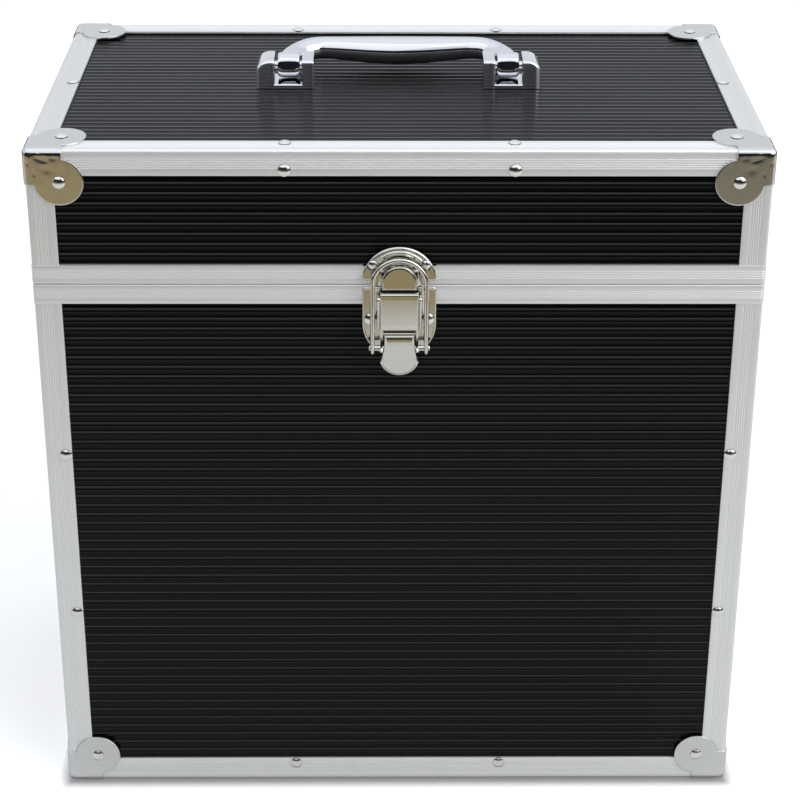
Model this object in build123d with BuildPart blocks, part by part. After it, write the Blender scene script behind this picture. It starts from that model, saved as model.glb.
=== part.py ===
"""Record carrying case for twelve-inch records: fluted black boards held in an aluminium frame, with
a hinged lid, a draw latch and a folding handle.

Millimetres, +Z up, the front at -Y. The origin is on the floor under the middle of the case.
"""

import os
from math import cos, radians, sin

from build123d import *

os.makedirs("parts", exist_ok=True)

# The aluminium frame's outside, and its height above the floor.
WIDTH = 350.0
DEPTH = 197.5
HEIGHT = 358.5
FOOT = 2.2
BASE = FOOT
TOP = BASE + HEIGHT
SEAM = BASE + 290.3

# The frame is an angle section, and the rims are channels that close the boards' edges at the mouth.
LEG = 13.0
WALL = 1.2
FRAME_ROUND = 2.0
RIM_HEIGHT = 10.3
LID_RIM_HEIGHT = 9.8
RIM_PROUD = 0.4
RIM_WEB = 1.6
SEAM_GAP = 0.2
TONGUE_THICK = 1.5
TONGUE_HIGH = 2.5
CHANNEL_DEEP = 3.1

# Boards with a fluted face, and the foam inside them.
BOARD = 6.0
FLUTE_PITCH = 5.17
FLUTE_WIDE = 1.0
FLUTE_DEEP = 0.4
FLUTE_MARGIN = 1.5
TOP_FLUTES_Y = -1.9
LINING = 3.0

# Rivets, and the corner caps that some of them hold.
RIVET_HEAD = 3.0
RIVET_DOME = 1.2
RIVET_SHANK = 1.5
RIVET_LONG = 5.0
RIVET_INSET = 10.1
RIVET_X = 54.0
POST_RIVETS_Z = (BASE + 104.9, BASE + 197.3)
DRILL = 0.05
CAP = 1.0
CAP_BOX = 17.6
CAP_DISC = 11.6
CAP_DISC_INSET = 15.8

# Hinges: the pin's line stands behind the back wall, level with the seam.
HINGE_X = 100.0
HINGE_LONG = 40.0
KNUCKLE = 3.0
KNUCKLE_MIDDLE = 15.4
KNUCKLE_GAP = 0.3
HINGE_PIN = 1.3
RUNNING_FIT = 0.05
FIXED_FIT = 0.02
HINGE_Y = DEPTH / 2 + RIM_PROUD + KNUCKLE + 0.3
LEAF = 1.5
LEAF_HIGH = 25.0
LEAF_START = 3.7
LID_OPENS = 100.0
STOP_REACH = 6.5

# Draw latch, measured outwards from the frame's front face and up from the seam.
PLATE = 1.2
PLATE_FACE = RIM_PROUD + PLATE
LATCH_HALF = 17.8
BASE_ARC_Z = SEAM - 20.6
BASE_TOP_Z = SEAM - 0.8
PIVOT_OUT = 8.6
PIVOT_Z = SEAM - 4.4
PIVOT_PIN = 1.0
PIVOT_EYE = 1.8
EAR_IN = 9.45
EAR = 1.2
EAR_END_Z = SEAM - 19.0
EAR_END_OUT = 7.6
LEVER_HALF = 9.15
LEVER_FACE = 10.4
LEVER_TOP_Z = SEAM - 0.8
STEP_Z = SEAM - 19.9
GROOVE_FACE = 8.2
TAIL_TOP_Z = SEAM - 22.6
TAIL_FACE = 10.2
TAIL_BEND_Z = SEAM - 32.0
TAIL_END_Z = SEAM - 44.5
TAIL_NECK = 7.65
TAIL_HALF = 9.6
TAIL_CORNER = 7.4
TAIL_ROUND = 9.95
TAIL_CURL = 1.2
TAIL_FLARE = 55.0
ROD_OUT = 7.4
ROD_Z = SEAM - 30.3
ROD = 1.5
BAIL_WIRE = 1.2
BAIL_HALF = 12.9
BAIL_ARC_Z = SEAM + 3.5
BAIL_OUT = 9.2
BAIL_EYE = 3.6
BAIL_EYE_HALF = 0.9
KEEPER_ARC_Z = SEAM + 2.4
KEEPER_RISE = 17.5
HOOK_LIP = 8.4
HOOK_NECK = 7.2
HOOK_ARC_Z = SEAM + 3.8
HOOK_FACE = 7.4
HOOK_BOTTOM_Z = SEAM - 0.6
BASE_RIVET_X = 13.7
BASE_RIVET_Z = SEAM - 17.6
KEEPER_RIVET_X = 12.6
KEEPER_RIVET_Z = SEAM + 10.7
KEEPER_HEAD = 2.2

# Folding handle, measured up from the lid's board.
LID_FACE = TOP - WALL
BRACKET_X = (42.7, 72.0)
HANDLE_Y = 4.4
BRACKET_Y = (HANDLE_Y - 11.8, HANDLE_Y + 6.2)
BRACKET_HIGH = 14.7
BRACKET_ROUND = 4.0
SLOT_X = (48.7, 62.5)
SLOT_FLOOR = 2.2
GRIP_Z = LID_FACE + 9.0
GRIP_X = 55.5
GRIP_KNUCKLE = 6.45
GRIP_KNUCKLE_WIDE = 11.2
GRIP_BEND = 18.5
GRIP_BACK = 24.0
GRIP_END = 5.7
GRIP_MIDDLE = 7.5
GRIP_PIN = 2.0
GRIP_PIN_X = (44.5, 70.0)
SCREW_X = (45.8, 67.0)
SCREW = 1.5
SCREW_HEAD = 3.5
SCREW_HEAD_HIGH = 2.2
SCREW_GRIPS = 5.0

X_FACE = WIDTH / 2 - WALL
Y_FACE = DEPTH / 2 - WALL
X_BACK = X_FACE - BOARD
Y_BACK = Y_FACE - BOARD
X_ROOM = X_BACK - LINING
Y_ROOM = Y_BACK - LINING
BODY_BOARD_TOP = SEAM - SEAM_GAP - RIM_WEB
LID_BOARD_BOTTOM = SEAM + SEAM_GAP + CHANNEL_DEEP + RIM_WEB
FRONT = Plane(origin=(0, -DEPTH / 2, 0), x_dir=(1, 0, 0), z_dir=(0, -1, 0))


def both(half):
    """Give the two limits of a size that is centred."""
    return (-half, half)


def block(x, y, z, mode=Mode.ADD):
    """Add a block between its two limits on each axis."""
    with Locations((sum(x) / 2, sum(y) / 2, sum(z) / 2)):
        Box(x[1] - x[0], y[1] - y[0], z[1] - z[0], mode=mode)


def on_front(x, z, out=0.0):
    """Give a plane on the front of the frame, facing outwards."""
    return Plane(origin=(x, -DEPTH / 2 - out, z), x_dir=(1, 0, 0), z_dir=(0, -1, 0))


def on_back(x, z, out=0.0):
    """Give a plane on the back of the frame, facing outwards."""
    return Plane(origin=(x, DEPTH / 2 + out, z), x_dir=(-1, 0, 0), z_dir=(0, 1, 0))


def on_side(side, y, z, out=0.0):
    """Give a plane on the left (-1) or right (1) of the frame, facing outwards."""
    return Plane(origin=(side * (WIDTH / 2 + out), y, z), x_dir=(0, side, 0), z_dir=(side, 0, 0))


def on_top(x, y, out=0.0):
    """Give a plane on the top of the frame, facing upwards."""
    return Plane(origin=(x, y, TOP + out), x_dir=(1, 0, 0), z_dir=(0, 0, 1))


def on_underside(x, y, out=0.0):
    """Give a plane under the frame, facing downwards."""
    return Plane(origin=(x, y, BASE - out), x_dir=(1, 0, 0), z_dir=(0, 0, -1))


def corners(half_x, half_y):
    """Give the four points at plus and minus both halves."""
    return [(x, y) for x in both(half_x) for y in both(half_y)]


# Where the rivets sit. The frame's rivets are near the inner edge of each leg, and a cap's rivets are
# in the middle of its three discs.
EDGE_X = WIDTH / 2 - RIVET_INSET
EDGE_Y = DEPTH / 2 - RIVET_INSET
DISC_X = WIDTH / 2 - CAP_DISC_INSET
DISC_Y = DEPTH / 2 - CAP_DISC_INSET
LOW_Z = BASE + RIVET_INSET
HIGH_Z = TOP - RIVET_INSET
DISC_LOW_Z = BASE + CAP_DISC_INSET
DISC_HIGH_Z = TOP - CAP_DISC_INSET

FRONT_LOW = [on_front(x, LOW_Z) for x in both(RIVET_X)]
FRONT_HIGH = [on_front(x, HIGH_Z) for x in both(RIVET_X)]
FRONT_POSTS = [on_front(x, z) for x in both(EDGE_X) for z in POST_RIVETS_Z]
BACK_LOW = [on_back(x, LOW_Z) for x in both(RIVET_X)]
BACK_HIGH = [on_back(x, HIGH_Z) for x in both(RIVET_X)]
BACK_POSTS = [on_back(x, z) for x in both(EDGE_X) for z in POST_RIVETS_Z]
SIDE_LOW = [on_side(side, 0, LOW_Z) for side in both(1)]
SIDE_HIGH = [on_side(side, 0, HIGH_Z) for side in both(1)]
SIDE_POSTS = [on_side(s, y, z) for s in both(1) for y in both(EDGE_Y) for z in POST_RIVETS_Z]
UNDERSIDE = [on_underside(x, y) for x, y in corners(RIVET_X, EDGE_Y)]
UNDERSIDE += [on_underside(x, 0) for x in both(EDGE_X)]
TOP_FACE = [on_top(x, y) for x, y in corners(RIVET_X, EDGE_Y)]
TOP_FACE += [on_top(x, 0) for x in both(EDGE_X)]

CAP_FRONT_LOW = [on_front(x, DISC_LOW_Z, CAP) for x in both(DISC_X)]
CAP_BACK_LOW = [on_back(x, DISC_LOW_Z, CAP) for x in both(DISC_X)]
CAP_SIDE_LOW = [on_side(s, y, DISC_LOW_Z, CAP) for s in both(1) for y in both(DISC_Y)]
CAP_UNDERSIDE = [on_underside(x, y, CAP) for x, y in corners(DISC_X, DISC_Y)]
CAP_FRONT_HIGH = [on_front(x, DISC_HIGH_Z, CAP) for x in both(DISC_X)]
CAP_BACK_HIGH = [on_back(x, DISC_HIGH_Z, CAP) for x in both(DISC_X)]
CAP_SIDE_HIGH = [on_side(s, y, DISC_HIGH_Z, CAP) for s in both(1) for y in both(DISC_Y)]
CAP_TOP = [on_top(x, y, CAP) for x, y in corners(DISC_X, DISC_Y)]

LEAF_RIVET_X = [x + dx for x in both(HINGE_X) for dx in both(HINGE_LONG / 2 - 6)]
LEAF_RIVET_RISE = 18.0
LEAF_SEAT = LEAF - WALL
BODY_LEAF = [on_back(x, SEAM - LEAF_RIVET_RISE, LEAF_SEAT) for x in LEAF_RIVET_X]
LID_LEAF = [on_back(x, SEAM + LEAF_RIVET_RISE, LEAF_SEAT) for x in LEAF_RIVET_X]
BASE_RIVETS = [on_front(x, BASE_RIVET_Z, PLATE_FACE) for x in both(BASE_RIVET_X)]
KEEPER_RIVETS = [on_front(x, KEEPER_RIVET_Z, PLATE_FACE) for x in both(KEEPER_RIVET_X)]


def drill(places):
    """Cut the holes that the rivets on these planes pass through."""
    with BuildSketch(*places) as holes:
        Circle(RIVET_SHANK + DRILL)
    extrude(holes.sketch, amount=-RIVET_LONG - DRILL, mode=Mode.SUBTRACT)


def flutes(face, long, span):
    """Cut the shallow grooves across a board's face, evenly about the plane's origin."""
    count = 1 + int((span - 2 * FLUTE_MARGIN) / FLUTE_PITCH)
    with BuildSketch(face) as grooves:
        with GridLocations(0, FLUTE_PITCH, 1, count):
            Rectangle(long, FLUTE_WIDE)
    extrude(grooves.sketch, amount=-FLUTE_DEEP, mode=Mode.SUBTRACT)


def rivets(places, head=RIVET_HEAD, worn=0.0):
    """Add domed rivets on these planes. A worn rivet's dome ends in a flat of that radius."""
    with BuildSketch(*places) as shanks:
        Circle(RIVET_SHANK)
    extrude(shanks.sketch, amount=-RIVET_LONG)
    for place in places:
        upright = Plane(origin=place.origin, x_dir=place.x_dir, z_dir=-place.y_dir)
        with BuildSketch(upright) as half_dome:
            with BuildLine():
                Line((0, RIVET_DOME), (0, 0))
                Line((0, 0), (head, 0))
                if worn:
                    Line((0, RIVET_DOME), (worn, RIVET_DOME))
                RadiusArc((worn, RIVET_DOME), (head, 0), head * 1.5)
            make_face()
        revolve(half_dome.sketch, axis=Axis(place.origin, place.z_dir))


# The walls of the body. The front and back boards run the full width, and the sides fit between them.
BODY_MIDDLE = (BASE + LEG + SEAM - RIM_HEIGHT) / 2
BODY_SPAN = SEAM - RIM_HEIGHT - BASE - LEG

with BuildPart() as front_panel:
    block(both(X_FACE), (-Y_FACE, -Y_BACK), (BASE + WALL, BODY_BOARD_TOP))
    flutes(on_front(0, BODY_MIDDLE, -WALL), WIDTH, BODY_SPAN)
    drill(FRONT_LOW + FRONT_POSTS + CAP_FRONT_LOW + BASE_RIVETS)
front_panel.part.label = "front_panel"
export_step(front_panel.part, "parts/front_panel.step")

with BuildPart() as back_panel:
    block(both(X_FACE), (Y_BACK, Y_FACE), (BASE + WALL, BODY_BOARD_TOP))
    flutes(on_back(0, BODY_MIDDLE, -WALL), WIDTH, BODY_SPAN)
    drill(BACK_LOW + BACK_POSTS + CAP_BACK_LOW + BODY_LEAF)
back_panel.part.label = "back_panel"
export_step(back_panel.part, "parts/back_panel.step")

for side, name in ((-1, "left_panel"), (1, "right_panel")):
    with BuildPart() as side_panel:
        block(sorted((side * X_FACE, side * X_BACK)), both(Y_BACK), (BASE + WALL, BODY_BOARD_TOP))
        flutes(on_side(side, 0, BODY_MIDDLE, -WALL), DEPTH, BODY_SPAN)
        drill(SIDE_LOW + SIDE_POSTS + CAP_SIDE_LOW)
    side_panel.part.label = name
    export_step(side_panel.part, f"parts/{name}.step")

with BuildPart() as bottom_panel:
    block(both(X_BACK), both(Y_BACK), (BASE + WALL, BASE + WALL + BOARD))
    flutes(on_underside(0, 0, -WALL), WIDTH, DEPTH - 2 * LEG)
    drill(UNDERSIDE + CAP_UNDERSIDE)
bottom_panel.part.label = "bottom_panel"
export_step(bottom_panel.part, "parts/bottom_panel.step")

# The walls of the lid, with the top board resting on all four.
LID_MIDDLE = (TOP - LEG + SEAM + LID_RIM_HEIGHT) / 2
LID_SPAN = TOP - LEG - SEAM - LID_RIM_HEIGHT
LID_WALL_TOP = LID_FACE - BOARD

with BuildPart() as lid_top_panel:
    block(both(X_FACE), both(Y_FACE), (LID_WALL_TOP, LID_FACE))
    flutes(on_top(0, TOP_FLUTES_Y, -WALL), WIDTH, DEPTH - 2 * LEG + 2 * TOP_FLUTES_Y)
    drill(TOP_FACE + CAP_TOP)
    with Locations(*[(side * x, HANDLE_Y, LID_FACE) for side in both(1) for x in SCREW_X]):
        Hole(SCREW + DRILL)
lid_top_panel.part.label = "lid_top_panel"
export_step(lid_top_panel.part, "parts/lid_top_panel.step")

with BuildPart() as lid_front_panel:
    block(both(X_FACE), (-Y_FACE, -Y_BACK), (LID_BOARD_BOTTOM, LID_WALL_TOP))
    flutes(on_front(0, LID_MIDDLE, -WALL), WIDTH, LID_SPAN)
    drill(FRONT_HIGH + CAP_FRONT_HIGH + KEEPER_RIVETS)
lid_front_panel.part.label = "lid_front_panel"
export_step(lid_front_panel.part, "parts/lid_front_panel.step")

with BuildPart() as lid_back_panel:
    block(both(X_FACE), (Y_BACK, Y_FACE), (LID_BOARD_BOTTOM, LID_WALL_TOP))
    flutes(on_back(0, LID_MIDDLE, -WALL), WIDTH, LID_SPAN)
    drill(BACK_HIGH + CAP_BACK_HIGH + LID_LEAF)
lid_back_panel.part.label = "lid_back_panel"
export_step(lid_back_panel.part, "parts/lid_back_panel.step")

for side, name in ((-1, "lid_left_panel"), (1, "lid_right_panel")):
    with BuildPart() as lid_side_panel:
        block(sorted((side * X_FACE, side * X_BACK)), both(Y_BACK), (LID_BOARD_BOTTOM, LID_WALL_TOP))
        flutes(on_side(side, 0, LID_MIDDLE, -WALL), DEPTH, LID_SPAN)
        drill(SIDE_HIGH + CAP_SIDE_HIGH)
    lid_side_panel.part.label = name
    export_step(lid_side_panel.part, f"parts/{name}.step")


# The frame: an angle round the bottom, another round the top, and a post at each upright corner.
SIDES = {
    "front": ((-1, -1), (1, -1)),
    "back": ((1, 1), (-1, 1)),
    "left": ((-1, 1), (-1, -1)),
    "right": ((1, -1), (1, 1)),
}
MITRE_OUT = 2.0
MITRE_IN = 20.0


def mitred_side(side):
    """Keep one side of a ring that runs round the case, mitred at both ends."""
    outer = [(x * (WIDTH / 2 + MITRE_OUT), y * (DEPTH / 2 + MITRE_OUT)) for x, y in SIDES[side]]
    inner = [(x * (WIDTH / 2 - MITRE_IN), y * (DEPTH / 2 - MITRE_IN)) for x, y in SIDES[side]]
    with BuildSketch() as quarter:
        Polygon(*outer, *reversed(inner), align=None)
    extrude(quarter.sketch, amount=TOP + MITRE_OUT, mode=Mode.INTERSECT)


for side in SIDES:
    with BuildPart() as bottom_edge:
        block(both(WIDTH / 2), both(DEPTH / 2), (BASE, BASE + LEG))
        fillet(bottom_edge.edges().filter_by(Axis.Z), FRAME_ROUND)
        fillet(bottom_edge.faces().sort_by(Axis.Z)[0].edges(), FRAME_ROUND)
        block(both(X_FACE), both(Y_FACE), (BASE + WALL, BASE + LEG), Mode.SUBTRACT)
        block(both(WIDTH / 2 - LEG), both(DEPTH / 2 - LEG), (BASE, BASE + WALL), Mode.SUBTRACT)
        drill(FRONT_LOW + BACK_LOW + SIDE_LOW + UNDERSIDE)
        mitred_side(side)
    bottom_edge.part.label = f"bottom_edge_{side}"
    export_step(bottom_edge.part, f"parts/bottom_edge_{side}.step")

    with BuildPart() as top_edge:
        block(both(WIDTH / 2), both(DEPTH / 2), (TOP - LEG, TOP))
        fillet(top_edge.edges().filter_by(Axis.Z), FRAME_ROUND)
        fillet(top_edge.faces().sort_by(Axis.Z)[-1].edges(), FRAME_ROUND)
        block(both(X_FACE), both(Y_FACE), (TOP - LEG, TOP - WALL), Mode.SUBTRACT)
        block(both(WIDTH / 2 - LEG), both(DEPTH / 2 - LEG), (TOP - WALL, TOP), Mode.SUBTRACT)
        drill(FRONT_HIGH + BACK_HIGH + SIDE_HIGH + TOP_FACE)
        mitred_side(side)
    top_edge.part.label = f"top_edge_{side}"
    export_step(top_edge.part, f"parts/top_edge_{side}.step")


def post(side_x, side_y, low, high):
    """Add an upright angle at one corner of the case."""
    x_out, y_out = side_x * WIDTH / 2, side_y * DEPTH / 2
    x = sorted((x_out, x_out - side_x * LEG))
    y = sorted((y_out, y_out - side_y * LEG))
    x_in = sorted((side_x * X_FACE, side_x * (X_FACE - LEG)))
    y_in = sorted((side_y * Y_FACE, side_y * (Y_FACE - LEG)))
    with BuildPart(mode=Mode.PRIVATE) as angle:
        block(x, y, (low, high))
        outside = angle.edges().filter_by(Axis.Z).sort_by_distance((x_out, y_out, (low + high) / 2))
        fillet(outside[0], FRAME_ROUND)
        block(x_in, y_in, (low, high), Mode.SUBTRACT)
    return angle.part


POSTS = {"front_left": (-1, -1), "front_right": (1, -1), "back_left": (-1, 1), "back_right": (1, 1)}

for name, (side_x, side_y) in POSTS.items():
    with BuildPart() as corner_post:
        add(post(side_x, side_y, BASE + LEG, SEAM - RIM_HEIGHT))
        drill(FRONT_POSTS + BACK_POSTS + SIDE_POSTS)
    corner_post.part.label = f"corner_post_{name}"
    export_step(corner_post.part, f"parts/corner_post_{name}.step")

with BuildPart() as lid_corner_posts:
    for side_x, side_y in POSTS.values():
        add(post(side_x, side_y, SEAM + LID_RIM_HEIGHT, TOP - LEG))
lid_corner_posts.part.label = "lid_corner_posts"
export_step(lid_corner_posts.part, "parts/lid_corner_posts.step")

# The rims: the body's has a tongue that stands in the open channel of the lid's.
RIM_X = WIDTH / 2 + RIM_PROUD
RIM_Y = DEPTH / 2 + RIM_PROUD
TONGUE_IN = (BOARD - TONGUE_THICK) / 2

for side in SIDES:
    with BuildPart() as body_rim:
        block(both(RIM_X), both(RIM_Y), (SEAM - RIM_HEIGHT, SEAM - SEAM_GAP))
        fillet(body_rim.edges().filter_by(Axis.Z), FRAME_ROUND + RIM_PROUD)
        block(both(X_FACE), both(Y_FACE), (SEAM - RIM_HEIGHT, BODY_BOARD_TOP), Mode.SUBTRACT)
        block(both(X_BACK), both(Y_BACK), (SEAM - RIM_HEIGHT, SEAM - SEAM_GAP))
        block(
            both(X_FACE - TONGUE_IN),
            both(Y_FACE - TONGUE_IN),
            (SEAM - SEAM_GAP, SEAM - SEAM_GAP + TONGUE_HIGH),
        )
        block(
            both(X_BACK + TONGUE_IN),
            both(Y_BACK + TONGUE_IN),
            (SEAM - SEAM_GAP, SEAM - SEAM_GAP + TONGUE_HIGH),
            Mode.SUBTRACT,
        )
        block(both(X_BACK - WALL), both(Y_BACK - WALL), (BASE, SEAM), Mode.SUBTRACT)
        drill(BASE_RIVETS)
        mitred_side(side)
    body_rim.part.label = f"body_rim_{side}"
    export_step(body_rim.part, f"parts/body_rim_{side}.step")

    with BuildPart() as lid_rim:
        block(both(RIM_X), both(RIM_Y), (SEAM + SEAM_GAP, SEAM + LID_RIM_HEIGHT))
        fillet(lid_rim.edges().filter_by(Axis.Z), FRAME_ROUND + RIM_PROUD)
        block(both(X_FACE), both(Y_FACE), (LID_BOARD_BOTTOM, SEAM + LID_RIM_HEIGHT), Mode.SUBTRACT)
        block(
            both(X_FACE),
            both(Y_FACE),
            (SEAM + SEAM_GAP, SEAM + SEAM_GAP + CHANNEL_DEEP),
            Mode.SUBTRACT,
        )
        block(both(X_BACK), both(Y_BACK), (SEAM + SEAM_GAP, SEAM + LID_RIM_HEIGHT))
        block(both(X_BACK - WALL), both(Y_BACK - WALL), (SEAM, TOP), Mode.SUBTRACT)
        drill(KEEPER_RIVETS)
        mitred_side(side)
    lid_rim.part.label = f"lid_rim_{side}"
    export_step(lid_rim.part, f"parts/lid_rim_{side}.step")

# Corner caps: a pressed box corner with a round ear on each of its three faces. One is made at the
# front right corner of the lid, and the others are its mirror images.
with BuildPart() as cap:
    block(
        (WIDTH / 2 - CAP_BOX, WIDTH / 2 + CAP),
        (-DEPTH / 2 - CAP, -DEPTH / 2 + CAP_BOX),
        (TOP - CAP_BOX, TOP + CAP),
    )
    near = cap.vertices().sort_by_distance((WIDTH, -DEPTH, TOP * 2))[0]
    fillet([edge for edge in cap.edges() if near in edge.vertices()], FRAME_ROUND + CAP)
    for face in (on_front(DISC_X, DISC_HIGH_Z), on_side(1, -DISC_Y, DISC_HIGH_Z), on_top(DISC_X, -DISC_Y)):
        with BuildSketch(face):
            Circle(CAP_DISC)
        extrude(amount=CAP)
    with BuildPart(mode=Mode.PRIVATE) as inside:
        block((0, WIDTH / 2), (-DEPTH / 2, 0), (SEAM, TOP))
        meeting = inside.vertices().sort_by_distance((WIDTH, -DEPTH, TOP * 2))[0]
        fillet([edge for edge in inside.edges() if meeting in edge.vertices()], FRAME_ROUND)
    add(inside.part, mode=Mode.SUBTRACT)
    drill([on_front(DISC_X, DISC_HIGH_Z, CAP), on_side(1, -DISC_Y, DISC_HIGH_Z, CAP)])
    drill([on_top(DISC_X, -DISC_Y, CAP)])

MIDDLE_HEIGHT = Plane.XY.offset(BASE + HEIGHT / 2)
for name, (side_x, side_y) in POSTS.items():
    lid_cap = cap.part
    if side_x < 0:
        lid_cap = mirror(lid_cap, about=Plane.YZ)
    if side_y > 0:
        lid_cap = mirror(lid_cap, about=Plane.XZ)
    lid_cap.label = f"lid_cap_{name}"
    export_step(lid_cap, f"parts/lid_cap_{name}.step")
    bottom_cap = mirror(lid_cap, about=MIDDLE_HEIGHT)
    bottom_cap.label = f"bottom_cap_{name}"
    export_step(bottom_cap, f"parts/bottom_cap_{name}.step")

# Rivets. Those under the bottom caps are what the case stands on, so their domes are worn flat.
with BuildPart() as body_rivets:
    rivets(FRONT_LOW + FRONT_POSTS + BACK_LOW + BACK_POSTS + SIDE_LOW + SIDE_POSTS + UNDERSIDE)
    rivets(CAP_FRONT_LOW + CAP_BACK_LOW + CAP_SIDE_LOW + BODY_LEAF)
body_rivets.part.label = "body_rivets"
export_step(body_rivets.part, "parts/body_rivets.step")

with BuildPart() as foot_rivets:
    rivets(CAP_UNDERSIDE, worn=RIVET_HEAD / 2)
foot_rivets.part.label = "foot_rivets"
export_step(foot_rivets.part, "parts/foot_rivets.step")

with BuildPart() as lid_rivets:
    rivets(FRONT_HIGH + BACK_HIGH + SIDE_HIGH + TOP_FACE + LID_LEAF)
    rivets(KEEPER_RIVETS, KEEPER_HEAD)
    rivets(CAP_FRONT_HIGH + CAP_BACK_HIGH + CAP_SIDE_HIGH + CAP_TOP)
lid_rivets.part.label = "lid_rivets"
export_step(lid_rivets.part, "parts/lid_rivets.step")

with BuildPart() as latch_rivets:
    rivets(BASE_RIVETS)
latch_rivets.part.label = "latch_rivets"
export_step(latch_rivets.part, "parts/latch_rivets.step")

# Foam inside: a floor, a band round the body's walls, and a tray in the lid.
FLOOR_TOP = BASE + WALL + BOARD + LINING

with BuildPart() as floor_lining:
    block(both(X_ROOM), both(Y_ROOM), (FLOOR_TOP - LINING, FLOOR_TOP))
floor_lining.part.label = "floor_lining"
export_step(floor_lining.part, "parts/floor_lining.step")

with BuildPart() as body_wall_lining:
    block(both(X_BACK), both(Y_BACK), (FLOOR_TOP - LINING, SEAM - RIM_HEIGHT))
    block(both(X_ROOM), both(Y_ROOM), (BASE, SEAM - RIM_HEIGHT), Mode.SUBTRACT)
body_wall_lining.part.label = "body_wall_lining"
export_step(body_wall_lining.part, "parts/body_wall_lining.step")

with BuildPart() as lid_lining:
    block(both(X_BACK), both(Y_BACK), (SEAM + LID_RIM_HEIGHT, LID_WALL_TOP))
    block(both(X_ROOM), both(Y_ROOM), (SEAM + LID_RIM_HEIGHT, LID_WALL_TOP - LINING), Mode.SUBTRACT)
    with BuildSketch(Plane.XY.offset(LID_WALL_TOP)):
        with Locations(*[(side * x, HANDLE_Y) for side in both(1) for x in SCREW_X]):
            Circle(SCREW_HEAD + 1)
    extrude(amount=-LINING, mode=Mode.SUBTRACT)
lid_lining.part.label = "lid_lining"
export_step(lid_lining.part, "parts/lid_lining.step")

# Hinges, drawn in a plane that cuts across the pin, with its origin on the pin. A leaf steps down
# from the rim to the board. Heels below the body's knuckles stop the opened lid.
KNUCKLE_END = (HINGE_LONG - KNUCKLE_MIDDLE) / 2 - KNUCKLE_GAP
END_MIDDLE = HINGE_LONG / 2 - KNUCKLE_END / 2
RIM_SEAT = RIM_Y - HINGE_Y
BOARD_SEAT = Y_FACE - HINGE_Y
STEP = RIM_HEIGHT + 0.4


def across(x):
    """Give a plane across the hinge pins: its x is backwards, its y is up."""
    return Plane(origin=(x, HINGE_Y, SEAM), x_dir=(0, 1, 0), z_dir=(1, 0, 0))


def leaf_plate(x, long, start, up):
    """Add the flat of a leaf, from a distance above or below the pin to the leaf's end."""
    with BuildSketch(across(x)) as section:
        with BuildLine():
            Polyline(
                (RIM_SEAT, up * start),
                (RIM_SEAT, up * STEP),
                (BOARD_SEAT, up * STEP),
                (BOARD_SEAT, up * LEAF_HIGH),
                (BOARD_SEAT + LEAF, up * LEAF_HIGH),
                (BOARD_SEAT + LEAF, up * (STEP + LEAF)),
                (RIM_SEAT + LEAF, up * STEP),
                (RIM_SEAT + LEAF, up * start),
                close=True,
            )
        make_face()
    extrude(section.sketch, amount=long / 2, both=True)


def knuckle(x, long, up):
    """Add a knuckle round the pin and the web that joins it to its leaf."""
    with BuildSketch(across(x)) as section:
        Circle(KNUCKLE)
        with Locations(((2 * RIM_SEAT + LEAF) / 2, up * LEAF_START / 2)):
            Rectangle(LEAF, LEAF_START)
    extrude(section.sketch, amount=long / 2, both=True)


def heel(x, long):
    """Add the heel that the opened lid's leaf comes down on, clear of it by the knuckle's gap."""
    turn = radians(LID_OPENS)
    start, end = KNUCKLE * 0.8, STOP_REACH
    high, low = [(y * cos(turn) - RIM_SEAT - LEAF) / sin(turn) - KNUCKLE_GAP for y in (start, end)]
    with BuildSketch(across(x)) as section:
        with BuildLine():
            Polyline(
                (0, 0),
                (start, high),
                (end, low),
                (end, low - LEAF),
                (RIM_SEAT + LEAF, -2 * KNUCKLE),
                (RIM_SEAT, -2 * KNUCKLE),
                (RIM_SEAT, 0),
                close=True,
            )
        make_face()
    extrude(section.sketch, amount=long / 2, both=True)


with BuildPart() as hinge_body_leaves:
    for x in both(HINGE_X):
        leaf_plate(x, HINGE_LONG, LEAF_START, -1)
        for end in both(END_MIDDLE):
            knuckle(x + end, KNUCKLE_END, -1)
            heel(x + end, KNUCKLE_END)
        with BuildSketch(across(x)):
            Circle(HINGE_PIN + FIXED_FIT)
        extrude(amount=HINGE_LONG / 2, both=True, mode=Mode.SUBTRACT)
    drill(BODY_LEAF)
hinge_body_leaves.part.label = "hinge_body_leaves"
export_step(hinge_body_leaves.part, "parts/hinge_body_leaves.step")

with BuildPart() as hinge_lid_leaves:
    for x in both(HINGE_X):
        leaf_plate(x, HINGE_LONG, LEAF_START, 1)
        knuckle(x, KNUCKLE_MIDDLE, 1)
        with BuildSketch(across(x)):
            Circle(HINGE_PIN + RUNNING_FIT)
        extrude(amount=HINGE_LONG / 2, both=True, mode=Mode.SUBTRACT)
    drill(LID_LEAF)
hinge_lid_leaves.part.label = "hinge_lid_leaves"
export_step(hinge_lid_leaves.part, "parts/hinge_lid_leaves.step")

with BuildPart() as hinge_pins:
    for x in both(HINGE_X):
        with BuildSketch(across(x)):
            Circle(HINGE_PIN)
        extrude(amount=HINGE_LONG / 2, both=True)
hinge_pins.part.label = "hinge_pins"
export_step(hinge_pins.part, "parts/hinge_pins.step")


# Draw latch. A cross section's plane has its x outwards from the frame's front, and its y up.
def latch_section(x=0.0):
    """Give a plane that cuts the latch from front to back."""
    return Plane(origin=(x, -DEPTH / 2, 0), x_dir=(0, -1, 0), z_dir=(-1, 0, 0))


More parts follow.
